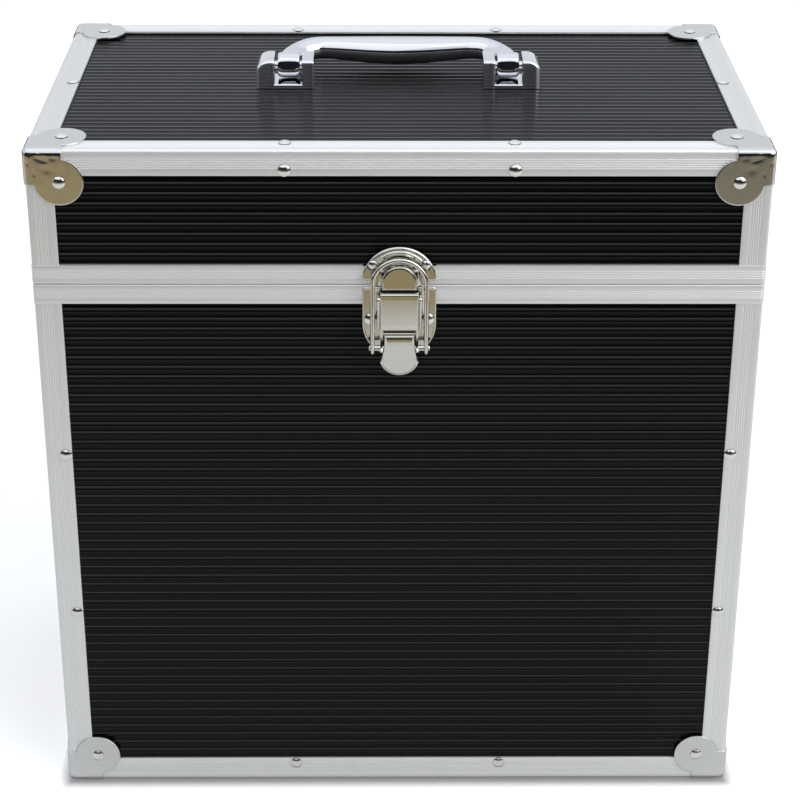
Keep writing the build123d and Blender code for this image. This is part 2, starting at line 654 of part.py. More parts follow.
def base_outline(inset=0.0):
    """Draw the latch base: straight sides with a round lower end."""
    half = LATCH_HALF - inset
    top = BASE_TOP_Z - inset
    with BuildLine() as outline:
        Line((half, BASE_ARC_Z), (half, top))
        Line((half, top), (-half, top))
        Line((-half, top), (-half, BASE_ARC_Z))
        ThreePointArc((-half, BASE_ARC_Z), (0, BASE_ARC_Z - half), (half, BASE_ARC_Z))
    make_face(outline.edges())


def keeper_outline(inset=0.0):
    """Draw the keeper: a half disc on its straight edge."""
    half = LATCH_HALF - inset
    with BuildLine() as outline:
        Line((-half, KEEPER_ARC_Z + inset), (half, KEEPER_ARC_Z + inset))
        ThreePointArc(
            (half, KEEPER_ARC_Z + inset),
            (0, KEEPER_ARC_Z + KEEPER_RISE - inset),
            (-half, KEEPER_ARC_Z + inset),
        )
    make_face(outline.edges())


with BuildPart() as latch_base:
    with BuildSketch(FRONT.offset(-WALL)):
        base_outline()
    extrude(amount=WALL + PLATE_FACE)
    top_corners = latch_base.edges().filter_by(Axis.Y).group_by(Axis.Z)[-1]
    fillet(top_corners, 2)
    with BuildSketch(FRONT.offset(-WALL)):
        base_outline(PLATE)
    extrude(amount=WALL + RIM_PROUD, mode=Mode.SUBTRACT)
    block(
        both(LATCH_HALF + 1),
        (-RIM_Y, -Y_FACE),
        (SEAM - RIM_HEIGHT, SEAM),
        Mode.SUBTRACT,
    )
    for x in both(EAR_IN + EAR / 2):
        with BuildSketch(latch_section(x)):
            with BuildLine():
                Polyline(
                    (RIM_PROUD + PLATE / 2, PIVOT_Z + PIVOT_EYE),
                    (PIVOT_OUT, PIVOT_Z + PIVOT_EYE),
                    (PIVOT_OUT + PIVOT_EYE, PIVOT_Z),
                    (EAR_END_OUT, EAR_END_Z),
                    (RIM_PROUD + PLATE / 2, EAR_END_Z - 2 * PLATE),
                    close=True,
                )
            make_face()
            with Locations((PIVOT_OUT, PIVOT_Z)):
                Circle(PIVOT_EYE)
                Circle(PIVOT_PIN + FIXED_FIT, mode=Mode.SUBTRACT)
        extrude(amount=EAR / 2, both=True)
    drill(BASE_RIVETS)
latch_base.part.label = "latch_base"
export_step(latch_base.part, "parts/latch_base.step")

with BuildPart() as latch_pivot_pin:
    with BuildSketch(latch_section()):
        with Locations((PIVOT_OUT, PIVOT_Z)):
            Circle(PIVOT_PIN)
    extrude(amount=EAR_IN + EAR + 0.3, both=True)
latch_pivot_pin.part.label = "latch_pivot_pin"
export_step(latch_pivot_pin.part, "parts/latch_pivot_pin.step")

with BuildPart() as keeper:
    with BuildSketch(FRONT.offset(-WALL)):
        keeper_outline()
    extrude(amount=WALL + PLATE_FACE)
    with BuildSketch(FRONT.offset(-WALL)):
        keeper_outline(PLATE)
    extrude(amount=WALL + RIM_PROUD, mode=Mode.SUBTRACT)
    block(both(LATCH_HALF + 1), (-RIM_Y, -Y_FACE), (SEAM, SEAM + LID_RIM_HEIGHT), Mode.SUBTRACT)
    for half, low, high in ((HOOK_NECK, RIM_PROUD, HOOK_FACE), (HOOK_LIP, HOOK_FACE - PLATE, HOOK_FACE)):
        with BuildSketch(FRONT.offset(low)):
            with Locations((0, HOOK_ARC_Z)):
                Circle(half)
            with Locations((0, (HOOK_ARC_Z + HOOK_BOTTOM_Z) / 2)):
                Rectangle(2 * half, HOOK_ARC_Z - HOOK_BOTTOM_Z)
            with Locations((0, HOOK_BOTTOM_Z - half)):
                Rectangle(2 * half, 2 * half, mode=Mode.SUBTRACT)
        extrude(amount=high - low)
    with BuildSketch(FRONT.offset(RIM_PROUD)):
        with Locations((0, HOOK_ARC_Z)):
            Circle(HOOK_NECK - PLATE)
        with Locations((0, HOOK_ARC_Z - HOOK_NECK)):
            Rectangle(2 * HOOK_NECK - 2 * PLATE, 2 * HOOK_NECK)
    extrude(amount=HOOK_FACE - PLATE - RIM_PROUD, mode=Mode.SUBTRACT)
    drill(KEEPER_RIVETS)
keeper.part.label = "keeper"
export_step(keeper.part, "parts/keeper.step")

# The lever is pressed from one sheet: a square front with a cheek down each side, a groove below it,
# and a finger tail whose end bends inwards.
with BuildPart() as latch_lever:
    with BuildSketch(latch_section()):
        with BuildLine():
            Polyline(
                (LEVER_FACE - PLATE, LEVER_TOP_Z),
                (LEVER_FACE - PLATE, STEP_Z + 1),
                (GROOVE_FACE - PLATE, STEP_Z + 0.5),
                (GROOVE_FACE - PLATE, TAIL_TOP_Z - 1),
                (TAIL_FACE - PLATE, TAIL_TOP_Z - 1.5),
                (TAIL_FACE - PLATE, TAIL_BEND_Z),
                (TAIL_FACE - PLATE - TAIL_CURL, TAIL_END_Z),
                (TAIL_FACE - TAIL_CURL, TAIL_END_Z),
                (TAIL_FACE, TAIL_BEND_Z),
                (TAIL_FACE, TAIL_TOP_Z),
                (GROOVE_FACE, TAIL_TOP_Z + 0.5),
                (GROOVE_FACE, STEP_Z - 0.5),
                (LEVER_FACE, STEP_Z),
                (LEVER_FACE, LEVER_TOP_Z - PLATE),
            )
            RadiusArc((LEVER_FACE, LEVER_TOP_Z - PLATE), (LEVER_FACE - PLATE, LEVER_TOP_Z), -PLATE)
        make_face()
    extrude(amount=TAIL_HALF, both=True)
    corner_z = TAIL_END_Z + TAIL_CORNER
    with BuildSketch(FRONT):
        with Locations((0, (LEVER_TOP_Z + STEP_Z) / 2)):
            Rectangle(2 * LEVER_HALF, LEVER_TOP_Z - STEP_Z)
        with BuildLine():
            Line((-TAIL_NECK, STEP_Z), (TAIL_NECK, STEP_Z))
            RadiusArc((TAIL_NECK, STEP_Z), (TAIL_HALF, corner_z), TAIL_FLARE)
            RadiusArc((TAIL_HALF, corner_z), (-TAIL_HALF, corner_z), TAIL_ROUND)
            RadiusArc((-TAIL_HALF, corner_z), (-TAIL_NECK, STEP_Z), TAIL_FLARE)
        make_face()
    extrude(amount=2 * LEVER_FACE, mode=Mode.INTERSECT)
    for x in both(LEVER_HALF - PLATE / 2):
        with BuildSketch(latch_section(x)):
            with Locations((PIVOT_OUT, PIVOT_Z)):
                Circle(PIVOT_EYE)
            with Locations((ROD_OUT, ROD_Z)):
                Circle(ROD + PLATE)
            with BuildLine():
                Polyline(
                    (PIVOT_OUT - PIVOT_EYE, PIVOT_Z),
                    (PIVOT_OUT, LEVER_TOP_Z),
                    (LEVER_FACE - PLATE, LEVER_TOP_Z),
                    (LEVER_FACE - PLATE / 2, LEVER_TOP_Z - PLATE),
                    (LEVER_FACE - PLATE / 2, STEP_Z + 1),
                    (ROD_OUT + ROD, STEP_Z - 1),
                    (ROD_OUT + ROD, ROD_Z),
                    (ROD_OUT - ROD - PLATE, ROD_Z),
                    close=True,
                )
            make_face()
        extrude(amount=PLATE / 2, both=True)
    with BuildSketch(latch_section()):
        with Locations((PIVOT_OUT, PIVOT_Z)):
            Circle(PIVOT_PIN + RUNNING_FIT)
        with Locations((ROD_OUT, ROD_Z)):
            Circle(ROD + FIXED_FIT)
    extrude(amount=LATCH_HALF, both=True, mode=Mode.SUBTRACT)
latch_lever.part.label = "latch_lever"
export_step(latch_lever.part, "parts/latch_lever.step")

with BuildPart() as bail_rod:
    with BuildSketch(latch_section()):
        with Locations((ROD_OUT, ROD_Z)):
            Circle(ROD)
    extrude(amount=BAIL_HALF + BAIL_WIRE + 0.8, both=True)
bail_rod.part.label = "bail_rod"
export_step(bail_rod.part, "parts/bail_rod.step")

# The bail is one loop of wire whose ends are flattened into eyes that turn on the rod.
with BuildPart() as latch_bail:
    rise = BAIL_ARC_Z + BAIL_HALF - ROD_Z
    lean = Plane(
        origin=(0, -DEPTH / 2 - ROD_OUT, ROD_Z),
        x_dir=(1, 0, 0),
        z_dir=Vector(0, -rise, -(BAIL_OUT - ROD_OUT)).normalized(),
    )
    start = BAIL_EYE - 0.6
    turn_at = rise - BAIL_HALF
    with BuildLine(lean) as loop:
        Line((-BAIL_HALF, start), (-BAIL_HALF, turn_at))
        RadiusArc((-BAIL_HALF, turn_at), (BAIL_HALF, turn_at), BAIL_HALF)
        Line((BAIL_HALF, turn_at), (BAIL_HALF, start))
    with BuildSketch(Plane(origin=loop.line @ 0, z_dir=loop.line % 0)):
        Circle(BAIL_WIRE)
    sweep()
    for x in both(BAIL_HALF):
        with BuildSketch(latch_section(x)):
            with Locations((ROD_OUT, ROD_Z)):
                Circle(BAIL_EYE)
        extrude(amount=BAIL_EYE_HALF, both=True)
    with BuildSketch(latch_section()):
        with Locations((ROD_OUT, ROD_Z)):
            Circle(ROD + RUNNING_FIT)
    extrude(amount=BAIL_HALF * 2, both=True, mode=Mode.SUBTRACT)
latch_bail.part.label = "latch_bail"
export_step(latch_bail.part, "parts/latch_bail.step")


# Folding handle: two cast brackets, and a grip that swells towards its middle.
def grip_section(x=0.0):
    """Give a plane across the handle's pins: its x is backwards, its y is up."""
    return Plane(origin=(x, HANDLE_Y, LID_FACE), x_dir=(0, 1, 0), z_dir=(1, 0, 0))


for side, name in ((-1, "handle_bracket_left"), (1, "handle_bracket_right")):
    with BuildPart() as bracket:
        block(
            sorted((side * BRACKET_X[0], side * BRACKET_X[1])),
            BRACKET_Y,
            (LID_FACE, LID_FACE + BRACKET_HIGH),
        )
        long_edges = bracket.edges().filter_by(Axis.X).group_by(Axis.Z)[-1]
        fillet(long_edges, BRACKET_ROUND)
        end_face = bracket.faces().sort_by(Axis.X)[0 if side < 0 else -1]
        fillet(end_face.edges().sort_by(Axis.Z)[1:], BRACKET_ROUND * 0.9)
        block(
            sorted((side * SLOT_X[0], side * SLOT_X[1])),
            both(DEPTH / 2),
            (LID_FACE + SLOT_FLOOR, TOP + BRACKET_HIGH),
            Mode.SUBTRACT,
        )
        with BuildSketch(grip_section(side * GRIP_PIN_X[0])):
            with Locations((0, GRIP_Z - LID_FACE)):
                Circle(GRIP_PIN + FIXED_FIT)
        extrude(amount=side * (GRIP_PIN_X[1] - GRIP_PIN_X[0]), mode=Mode.SUBTRACT)
        with BuildSketch(Plane.XY.offset(LID_FACE)):
            with Locations(*[(side * x, HANDLE_Y) for x in SCREW_X]):
                Circle(SCREW + FIXED_FIT)
        extrude(amount=SCREW_GRIPS, mode=Mode.SUBTRACT)
    bracket.part.label = name
    export_step(bracket.part, f"parts/{name}.step")

with BuildPart() as handle_pivot_pins:
    for side in both(1):
        with BuildSketch(grip_section(side * GRIP_PIN_X[0])):
            with Locations((0, GRIP_Z - LID_FACE)):
                Circle(GRIP_PIN)
        extrude(amount=side * (GRIP_PIN_X[1] - GRIP_PIN_X[0]))
handle_pivot_pins.part.label = "handle_pivot_pins"
export_step(handle_pivot_pins.part, "parts/handle_pivot_pins.step")

with BuildPart() as handle_screws:
    screw_points = [(side * x, HANDLE_Y) for side in both(1) for x in SCREW_X]
    with BuildSketch(Plane.XY.offset(LID_WALL_TOP)):
        with Locations(*screw_points):
            Circle(SCREW_HEAD)
    extrude(amount=-SCREW_HEAD_HIGH)
    with BuildSketch(Plane.XY.offset(LID_WALL_TOP)):
        with Locations(*screw_points):
            Circle(SCREW)
    extrude(amount=BOARD + SCREW_GRIPS)
handle_screws.part.label = "handle_screws"
export_step(handle_screws.part, "parts/handle_screws.step")

with BuildPart() as handle_grip:
    bar_half = GRIP_X - GRIP_BEND
    back_y = HANDLE_Y + GRIP_BACK
    bend_y = back_y - GRIP_BEND
    with BuildLine(Plane.XY.offset(GRIP_Z)) as grip_path:
        Line((-GRIP_X, HANDLE_Y), (-GRIP_X, bend_y))
        RadiusArc((-GRIP_X, bend_y), (-bar_half, back_y), GRIP_BEND)
        Line((-bar_half, back_y), (bar_half, back_y))
        RadiusArc((bar_half, back_y), (GRIP_X, bend_y), GRIP_BEND)
        Line((GRIP_X, bend_y), (GRIP_X, HANDLE_Y))
    with BuildSketch(Plane(origin=(-GRIP_X, HANDLE_Y, GRIP_Z), z_dir=(0, 1, 0))):
        Circle(GRIP_END)
    sweep(path=grip_path.line)
    with BuildSketch(Plane.XY.offset(GRIP_Z)):
        with BuildLine():
            ThreePointArc(
                (-bar_half, back_y + GRIP_END),
                (0, back_y + GRIP_MIDDLE),
                (bar_half, back_y + GRIP_END),
            )
            Line((bar_half, back_y + GRIP_END), (bar_half, back_y))
            Line((bar_half, back_y), (-bar_half, back_y))
            Line((-bar_half, back_y), (-bar_half, back_y + GRIP_END))
        make_face()
    revolve(axis=Axis((0, back_y, GRIP_Z), (1, 0, 0)))
    for x in both(GRIP_X):
        with BuildSketch(grip_section(x)):
            with Locations((0, GRIP_Z - LID_FACE)):
                Circle(GRIP_KNUCKLE)
        extrude(amount=GRIP_KNUCKLE_WIDE / 2, both=True)
    with BuildSketch(grip_section()):
        with Locations((0, GRIP_Z - LID_FACE)):
            Circle(GRIP_PIN + RUNNING_FIT)
    extrude(amount=WIDTH / 2, both=True, mode=Mode.SUBTRACT)
handle_grip.part.label = "handle_grip"
export_step(handle_grip.part, "parts/handle_grip.step")
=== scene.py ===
"""The looks of the record carrying case: black fluted boards held in an aluminium frame, with pressed corner
caps, a draw latch and a folding handle. Lengths are millimetres until a mesh is made from them, and metres in
the room and the materials. The axes are the model's own: X to the right, Y to the back, Z up, from the floor
under the middle of the case."""

import bmesh
import bpy
import numpy as np
from mathutils import Matrix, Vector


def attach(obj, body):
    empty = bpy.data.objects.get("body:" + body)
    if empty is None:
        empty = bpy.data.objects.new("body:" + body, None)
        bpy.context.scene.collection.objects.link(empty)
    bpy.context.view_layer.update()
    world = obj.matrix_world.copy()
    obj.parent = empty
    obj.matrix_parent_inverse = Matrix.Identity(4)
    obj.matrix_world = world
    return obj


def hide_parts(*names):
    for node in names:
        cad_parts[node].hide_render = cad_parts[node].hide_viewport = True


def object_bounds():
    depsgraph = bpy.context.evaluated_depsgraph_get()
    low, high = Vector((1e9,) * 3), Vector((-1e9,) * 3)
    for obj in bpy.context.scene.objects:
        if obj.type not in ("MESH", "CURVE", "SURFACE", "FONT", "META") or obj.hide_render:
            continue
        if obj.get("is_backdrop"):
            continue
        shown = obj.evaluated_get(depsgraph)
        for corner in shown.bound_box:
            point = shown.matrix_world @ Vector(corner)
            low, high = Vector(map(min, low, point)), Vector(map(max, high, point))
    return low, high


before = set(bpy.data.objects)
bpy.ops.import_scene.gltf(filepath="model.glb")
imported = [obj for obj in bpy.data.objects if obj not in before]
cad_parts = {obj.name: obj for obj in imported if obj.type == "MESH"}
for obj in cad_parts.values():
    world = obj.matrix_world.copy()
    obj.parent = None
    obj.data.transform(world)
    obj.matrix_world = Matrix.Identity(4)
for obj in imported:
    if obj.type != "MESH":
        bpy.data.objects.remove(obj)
cad_low, cad_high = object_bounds()


# The photographer's camera. A long lens a little over a metre away looks down on the front of the case from
# 8 mm left of its middle. The lens is shifted, so its axis meets the square picture above the middle.
PICTURE, FOCAL, AXIS_ROW = 800, 2070.58, 296.8
SENSOR = 36.0
LENS_AT = (-0.00849, -1.00174, 0.69835)
pitch, yaw, roll = 0.42847, 0.00974, 0.00413
ahead = np.array([np.sin(yaw) * np.cos(pitch), np.cos(yaw) * np.cos(pitch), -np.sin(pitch)])
right = np.array([np.cos(yaw), -np.sin(yaw), 0.0])
above = np.cross(right, ahead)
camera = bpy.data.objects.new("camera", bpy.data.cameras.new("camera"))
camera.data.sensor_width = SENSOR
camera.data.lens = FOCAL / PICTURE * SENSOR
camera.data.shift_y = (AXIS_ROW - PICTURE / 2) / PICTURE
pose = np.eye(4)
pose[:3, 0] = right * np.cos(roll) + above * np.sin(roll)
pose[:3, 1] = above * np.cos(roll) - right * np.sin(roll)
pose[:3, 2] = -ahead
pose[:3, 3] = LENS_AT
camera.matrix_world = Matrix(pose)
bpy.context.scene.collection.objects.link(camera)
bpy.context.scene.camera = camera
bpy.context.scene.view_settings.view_transform = "Standard"


def node(tree, kind, inputs=None, **settings):
    """Adds one node, whose kind is Blender's own name for it after ShaderNode. Settings are its properties,
    and inputs gives each socket a value, or another node's output to be linked to it."""
    new = tree.nodes.new("ShaderNode" + kind)
    for name, value in settings.items():
        setattr(new, name, value)
    for socket, value in (inputs or {}).items():
        if isinstance(value, bpy.types.NodeSocket):
            tree.links.new(value, new.inputs[socket])
        else:
            new.inputs[socket].default_value = value
    return new


def material(name):
    """Makes a material that has no nodes yet, and gives its tree with it."""
    new = bpy.data.materials.new(name)
    new.use_nodes = True
    new.node_tree.nodes.clear()
    return new, new.node_tree


def linear(colour):
    """Turns an sRGB hex colour into the linear red, green, blue and alpha that a socket takes."""
    s = np.array([int(colour[i : i + 2], 16) for i in (1, 3, 5)]) / 255
    return (*np.where(s <= 0.04045, s / 12.92, ((s + 0.055) / 1.055) ** 2.4), 1.0)


# The table is covered with matt white paper, 0.66 m out to the front and back and 1.2 m to the sides. The
# brown table top shows beyond it, and further off the room is dark, but only polished metal and gloss see
# those. Close round the case's foot the paper is in shade.
PAPER_ENDS, TABLE_ENDS, SIDEWAYS = (0.58, 0.74), (1.05, 1.2), 0.55
CASE_HALF, SHADE_REACH, SHADE, LIFT = (0.175, 0.099, 0.0), 0.007, 0.35, 0.45
REACH = 8.0
paper, tree = material("white_background_paper")
ray = node(tree, "LightPath").outputs
place = node(tree, "TexCoord").outputs["Object"]
apart = node(tree, "SeparateXYZ", {0: place}).outputs
narrowed = node(tree, "VectorMath", {0: place, 1: (SIDEWAYS, 1.0, 0.0)}, operation="MULTIPLY").outputs[0]
distance = node(tree, "VectorMath", {0: narrowed}, operation="LENGTH").outputs["Value"]
brown = node(
    tree,
    "MapRange",
    {"Value": distance, "From Min": PAPER_ENDS[0], "From Max": PAPER_ENDS[1]},
    interpolation_type="SMOOTHSTEP",
).outputs[0]
dark = node(
    tree,
    "MapRange",
    {"Value": distance, "From Min": TABLE_ENDS[0], "From Max": TABLE_ENDS[1]},
    interpolation_type="SMOOTHSTEP",
).outputs[0]
# The table top is a little greyer to the right.
across = node(tree, "MapRange", {"Value": apart["X"], "From Min": 0.02, "From Max": 0.26}).outputs[0]
table_top = node(
    tree, "Mix", {0: across, 6: linear("#ae9f7b"), 7: linear("#918b77")}, data_type="RGBA"
).outputs[2]
table_top = node(tree, "Mix", {0: dark, 6: table_top, 7: linear("#2a2a30")}, data_type="RGBA").outputs[2]
seen_in_gloss = node(tree, "Math", {0: brown, 1: ray["Is Glossy Ray"]}, operation="MULTIPLY").outputs[0]
quadrant = node(tree, "VectorMath", {0: place}, operation="ABSOLUTE").outputs[0]
past = node(tree, "VectorMath", {0: quadrant, 1: CASE_HALF}, operation="SUBTRACT").outputs[0]
past = node(tree, "VectorMath", {0: past, 1: (0.0, 0.0, 0.0)}, operation="MAXIMUM").outputs[0]
gap = node(tree, "VectorMath", {0: past}, operation="LENGTH").outputs["Value"]
lit = node(tree, "MapRange", {"Value": gap, "From Max": SHADE_REACH, "To Min": SHADE}).outputs[0]
shaded = node(
    tree, "Mix", {0: lit, 6: linear("#000000"), 7: linear("#f2f2f2")}, data_type="RGBA"
).outputs[2]
white = node(tree, "BsdfDiffuse", {"Color": shaded}).outputs[0]
beyond = node(tree, "Emission", {"Color": table_top}).outputs[0]
surface = node(tree, "MixShader", {0: seen_in_gloss, 1: white, 2: beyond}).outputs[0]
# The camera sees the lit paper as pure white.
lift = node(tree, "Math", {0: ray["Is Camera Ray"], 1: lit}, operation="MULTIPLY").outputs[0]
lift = node(tree, "Math", {0: lift, 1: LIFT}, operation="MULTIPLY").outputs[0]
lifted = node(tree, "Emission", {"Strength": lift}).outputs[0]
surface = node(tree, "AddShader", {0: surface, 1: lifted}).outputs[0]
node(tree, "OutputMaterial", {"Surface": surface})

floor_mesh = bpy.data.meshes.new("floor")
corners = [(-REACH, -REACH, 0.0), (REACH, -REACH, 0.0), (REACH, REACH, 0.0), (-REACH, REACH, 0.0)]
floor_mesh.from_pydata(corners, [], [(0, 1, 2, 3)])
floor_mesh.materials.append(paper)
floor = bpy.data.objects.new("floor", floor_mesh)
bpy.context.scene.collection.objects.link(floor)
floor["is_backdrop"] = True

# A tent of bluish white cloth surrounds the case and is brighter overhead. The dark room shows in polished
# metal through the tent's open front, above the table's edge.
room = bpy.data.worlds.new("white_tent")
bpy.context.scene.world = room
room.use_nodes = True
tree = room.node_tree
tree.nodes.clear()
ray = node(tree, "LightPath").outputs
facing = node(tree, "TexCoord").outputs["Generated"]
apart = node(tree, "SeparateXYZ", {0: facing}).outputs
towards = node(
    tree,
    "MapRange",
    {"Value": apart["Y"], "From Min": -0.48, "From Max": -0.62},
    interpolation_type="SMOOTHSTEP",
).outputs[0]
under = node(
    tree,
    "MapRange",
    {"Value": apart["Z"], "From Min": 0.37, "From Max": 0.25},
    interpolation_type="SMOOTHSTEP",
).outputs[0]
opening = node(tree, "Math", {0: towards, 1: under}, operation="MULTIPLY").outputs[0]
opening = node(tree, "Math", {0: opening, 1: ray["Is Glossy Ray"]}, operation="MULTIPLY").outputs[0]
tent = node(
    tree, "Mix", {0: ray["Is Camera Ray"], 6: linear("#eef2fa"), 7: linear("#ffffff")}, data_type="RGBA"
).outputs[2]
tent = node(tree, "Mix", {0: opening, 6: tent, 7: linear("#1d1d22")}, data_type="RGBA").outputs[2]
strength = node(
    tree, "MapRange", {"Value": ray["Is Diffuse Ray"], "To Min": 1.0, "To Max": 0.62}
).outputs[0]
overhead = node(
    tree,
    "MapRange",
    {"Value": apart["Z"], "From Min": 0.5, "From Max": 0.9, "To Min": 1.0, "To Max": 1.25},
).outputs[0]
strength = node(tree, "Math", {0: strength, 1: overhead}, operation="MULTIPLY").outputs[0]
glow = node(tree, "Background", {"Color": tent, "Strength": strength}).outputs[0]
node(tree, "OutputWorld", {"Surface": glow})

# Two wide soft boxes, above the front left and above the right, are aimed at the middle of the case.
AIM = (0, 0, 0.2)
for name, size, power, at in (
    ("left_light", 2.6, 6.0, (-0.7, -1.3, 1.9)),
    ("right_light", 2.2, 27.0, (1.5, -1.1, 1.4)),
):
    lamp = bpy.data.lights.new(name, "AREA")
    lamp.size = size
    lamp.energy = power
    box = bpy.data.objects.new(name, lamp)
    back = np.array(at) - np.array(AIM)
    back /= np.linalg.norm(back)
    side = np.cross((0, 0, 1), back)
    side /= np.linalg.norm(side)
    pose = np.eye(4)
    pose[:3, 0], pose[:3, 1], pose[:3, 2], pose[:3, 3] = side, np.cross(back, side), back, at
    box.matrix_world = Matrix(pose)
    bpy.context.scene.collection.objects.link(box)


# The ten boards are hardboard with a black ABS facing, which is moulded with a fine bead every 5 mm. They
# are sawn to size, so the beads run out to the edges under the frame.
WIDTH, DEPTH, FOOT, HEIGHT = 350.0, 197.5, 2.2, 358.5
TOP, SEAM = FOOT + HEIGHT, FOOT + 290.3
LEG, WALL, RIM, LID_RIM, BOARD = 13.0, 1.2, 10.3, 9.8, 6.0
PITCH, MARGIN, BEAD, BEAD_HIGH = 5.17, 1.5, 1.2, 0.3
LOW_BEAD, LOW_BEAD_AT = 0.45, 1.8
GAP, WEB, MOUTH = 0.2, 1.6, 3.1
X_FACE, Y_FACE, LID_FACE = WIDTH / 2 - WALL, DEPTH / 2 - WALL, TOP - WALL
X_BACK, Y_BACK = X_FACE - BOARD, Y_FACE - BOARD

facing_plastic, tree = material("black_abs_facing")
place = node(tree, "TexCoord").outputs["Object"]
# Handling leaves broad patches that are a little duller, and a few specks of dust about 0.6 mm across.
patches = node(tree, "TexNoise", {"Vector": place, "Scale": 14.0, "Detail": 3.0}).outputs[0]
gloss = node(
    tree, "MapRange", {"Value": patches, "From Min": 0.3, "From Max": 0.7, "To Min": 0.13, "To Max": 0.19}
).outputs[0]
cell = node(tree, "TexVoronoi", {"Vector": place, "Scale": 40.0}).outputs
speck = node(tree, "MapRange", {"Value": cell["Distance"], "From Min": 0.013, "From Max": 0.008}).outputs[0]
kept = node(tree, "SeparateColor", {0: cell["Color"]}).outputs[0]
kept = node(tree, "Math", {0: kept, 1: 0.8}, operation="GREATER_THAN").outputs[0]
dust = node(tree, "Math", {0: speck, 1: kept}, operation="MULTIPLY").outputs[0]
# A painted highlight: the beads' crests are painted grey, more where they stand higher.
raised = node(tree, "Attribute", attribute_name="raised").outputs["Fac"]
rub_marks_and_painted_highlight = node(tree, "MapRange", {"Value": raised, "From Min": 0.3, "From Max": 1.0}).outputs[0]
colour = node(
    tree, "Mix", {0: rub_marks_and_painted_highlight, 6: linear("#060606"), 7: linear("#353735")}, data_type="RGBA"
).outputs[2]
colour = node(tree, "Mix", {0: dust, 6: colour, 7: linear("#6b6e6b")}, data_type="RGBA").outputs[2]
plastic = node(tree, "BsdfPrincipled", {"Base Color": colour, "Roughness": gloss, "IOR": 1.23}).outputs[0]
node(tree, "OutputMaterial", {"Surface": plastic})

# Hardboard's pressed brown fibre, on the back of each board.
hardboard, tree = material("hardboard")
place = node(tree, "TexCoord").outputs["Object"]
fibre = node(tree, "TexNoise", {"Vector": place, "Scale": 420.0, "Detail": 6.0}).outputs[0]
colour = node(
    tree, "Mix", {0: fibre, 6: linear("#5a3d26"), 7: linear("#8a6440")}, data_type="RGBA"
).outputs[2]
relief = node(tree, "Bump", {"Height": fibre, "Strength": 0.3, "Distance": 0.0003}).outputs[0]
pressed = node(
    tree, "BsdfPrincipled", {"Base Color": colour, "Roughness": 0.7, "Normal": relief}
).outputs[0]
node(tree, "OutputMaterial", {"Surface": pressed})


def make(name, surfaces, finishes, sharp=35.0):
    """Makes one object from grids of points. Each surface is (points, round, ends, finish): quads join each
    point (i, j) to its neighbours, round joins the last column to the first, and ends closes the first and
    last rows with a polygon. The finish is one for all, or one for each column of quads. U and V are the
    metres travelled along the rows and columns. Points that meet within 2 micrometres become one."""
    points, faces, texture, finish_of = [], [], [], []
    start = 0
    for grid, round_, ends, finish in surfaces:
        rows, columns = grid.shape[:2]
        across = columns if round_ else columns - 1
        i, j = np.meshgrid(np.arange(rows - 1), np.arange(across), indexing="ij")
        i = i.reshape(-1, 1) + np.array([0, 1, 1, 0])
        j = j.reshape(-1, 1) + np.array([0, 0, 1, 1])
        looped = np.concatenate([grid, grid[:, :1]], 1)
        down = np.linalg.norm(np.diff(grid, axis=0), axis=2).max(1)
        along = np.linalg.norm(np.diff(looped, axis=1), axis=2).max(0)
        u = np.concatenate([[0.0], np.cumsum(down)]) / 1000
        v = np.concatenate([[0.0], np.cumsum(along)]) / 1000
        faces += (start + i * columns + j % columns).tolist()
        texture.append(np.stack([u[i], v[j]], -1).reshape(-1, 2))
        layer = np.broadcast_to(finish, (rows - 1, across))
        finish_of += layer.ravel().tolist()
        if ends:
            ring = np.arange(columns)
            faces += [(start + ring[::-1]).tolist(), (start + (rows - 1) * columns + ring).tolist()]
            texture += [grid[0, ::-1, :2] / 1000, grid[-1, :, :2] / 1000]
            finish_of += [int(layer[0, -1])] * 2
        points.append(grid.reshape(-1, 3) / 1000)
        start += rows * columns
    mesh = bpy.data.meshes.new(name)
    mesh.from_pydata(np.concatenate(points).tolist(), [], faces)
    for finish in finishes:
        mesh.materials.append(finish)
    mesh.polygons.foreach_set("material_index", finish_of)
    mesh.uv_layers.new(name="UVMap").data.foreach_set("uv", np.concatenate(texture).ravel())
    shape = bmesh.new()
    shape.from_mesh(mesh)
    bmesh.ops.remove_doubles(shape, verts=shape.verts, dist=2e-6)
    bmesh.ops.dissolve_degenerate(shape, edges=shape.edges, dist=1e-7)
    bmesh.ops.recalc_face_normals(shape, faces=shape.faces)
    shape.to_mesh(mesh)
    shape.free()
    mesh.shade_smooth()
    mesh.set_sharp_from_angle(angle=np.radians(sharp))
    made = bpy.data.objects.new(name, mesh)
    bpy.context.scene.collection.objects.link(made)
    return made


def closed(rings, finish=0):
    """Gives one surface for make from rings of points: closed all round and at both ends."""
    return rings, True, True, finish


def fit(piece, body, slot, *nodes):
    """Puts a piece on the body that carries it, in the place of its nodes in the frame."""
    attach(piece, body)
    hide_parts(*nodes)


def beaded(low, high, middle, span):
    """Gives a board's face from edge to edge as heights and depths. Each bead rises by half of one plus the
    cosine of the turn across it, times BEAD_HIGH at its crest and LOW_BEAD of that at its lower lip."""
    count = 1 + int((span - 2 * MARGIN) / PITCH)
    turn = np.linspace(-np.pi, np.pi, 9)
    wave = (1 + np.cos(turn)) / 2
    rise = np.concatenate([LOW_BEAD * wave, wave])
    step = turn / np.pi * BEAD / 2
    crest = middle + (np.arange(count) - (count - 1) / 2) * PITCH
    height = (crest[:, None] + np.concatenate([step - LOW_BEAD_AT, step])).ravel()
    depth = np.tile(BEAD_HIGH * (1 - rise), count)
    return np.concatenate([[low], height, [high]]), np.concatenate([[BEAD_HIGH], depth, [BEAD_HIGH]])


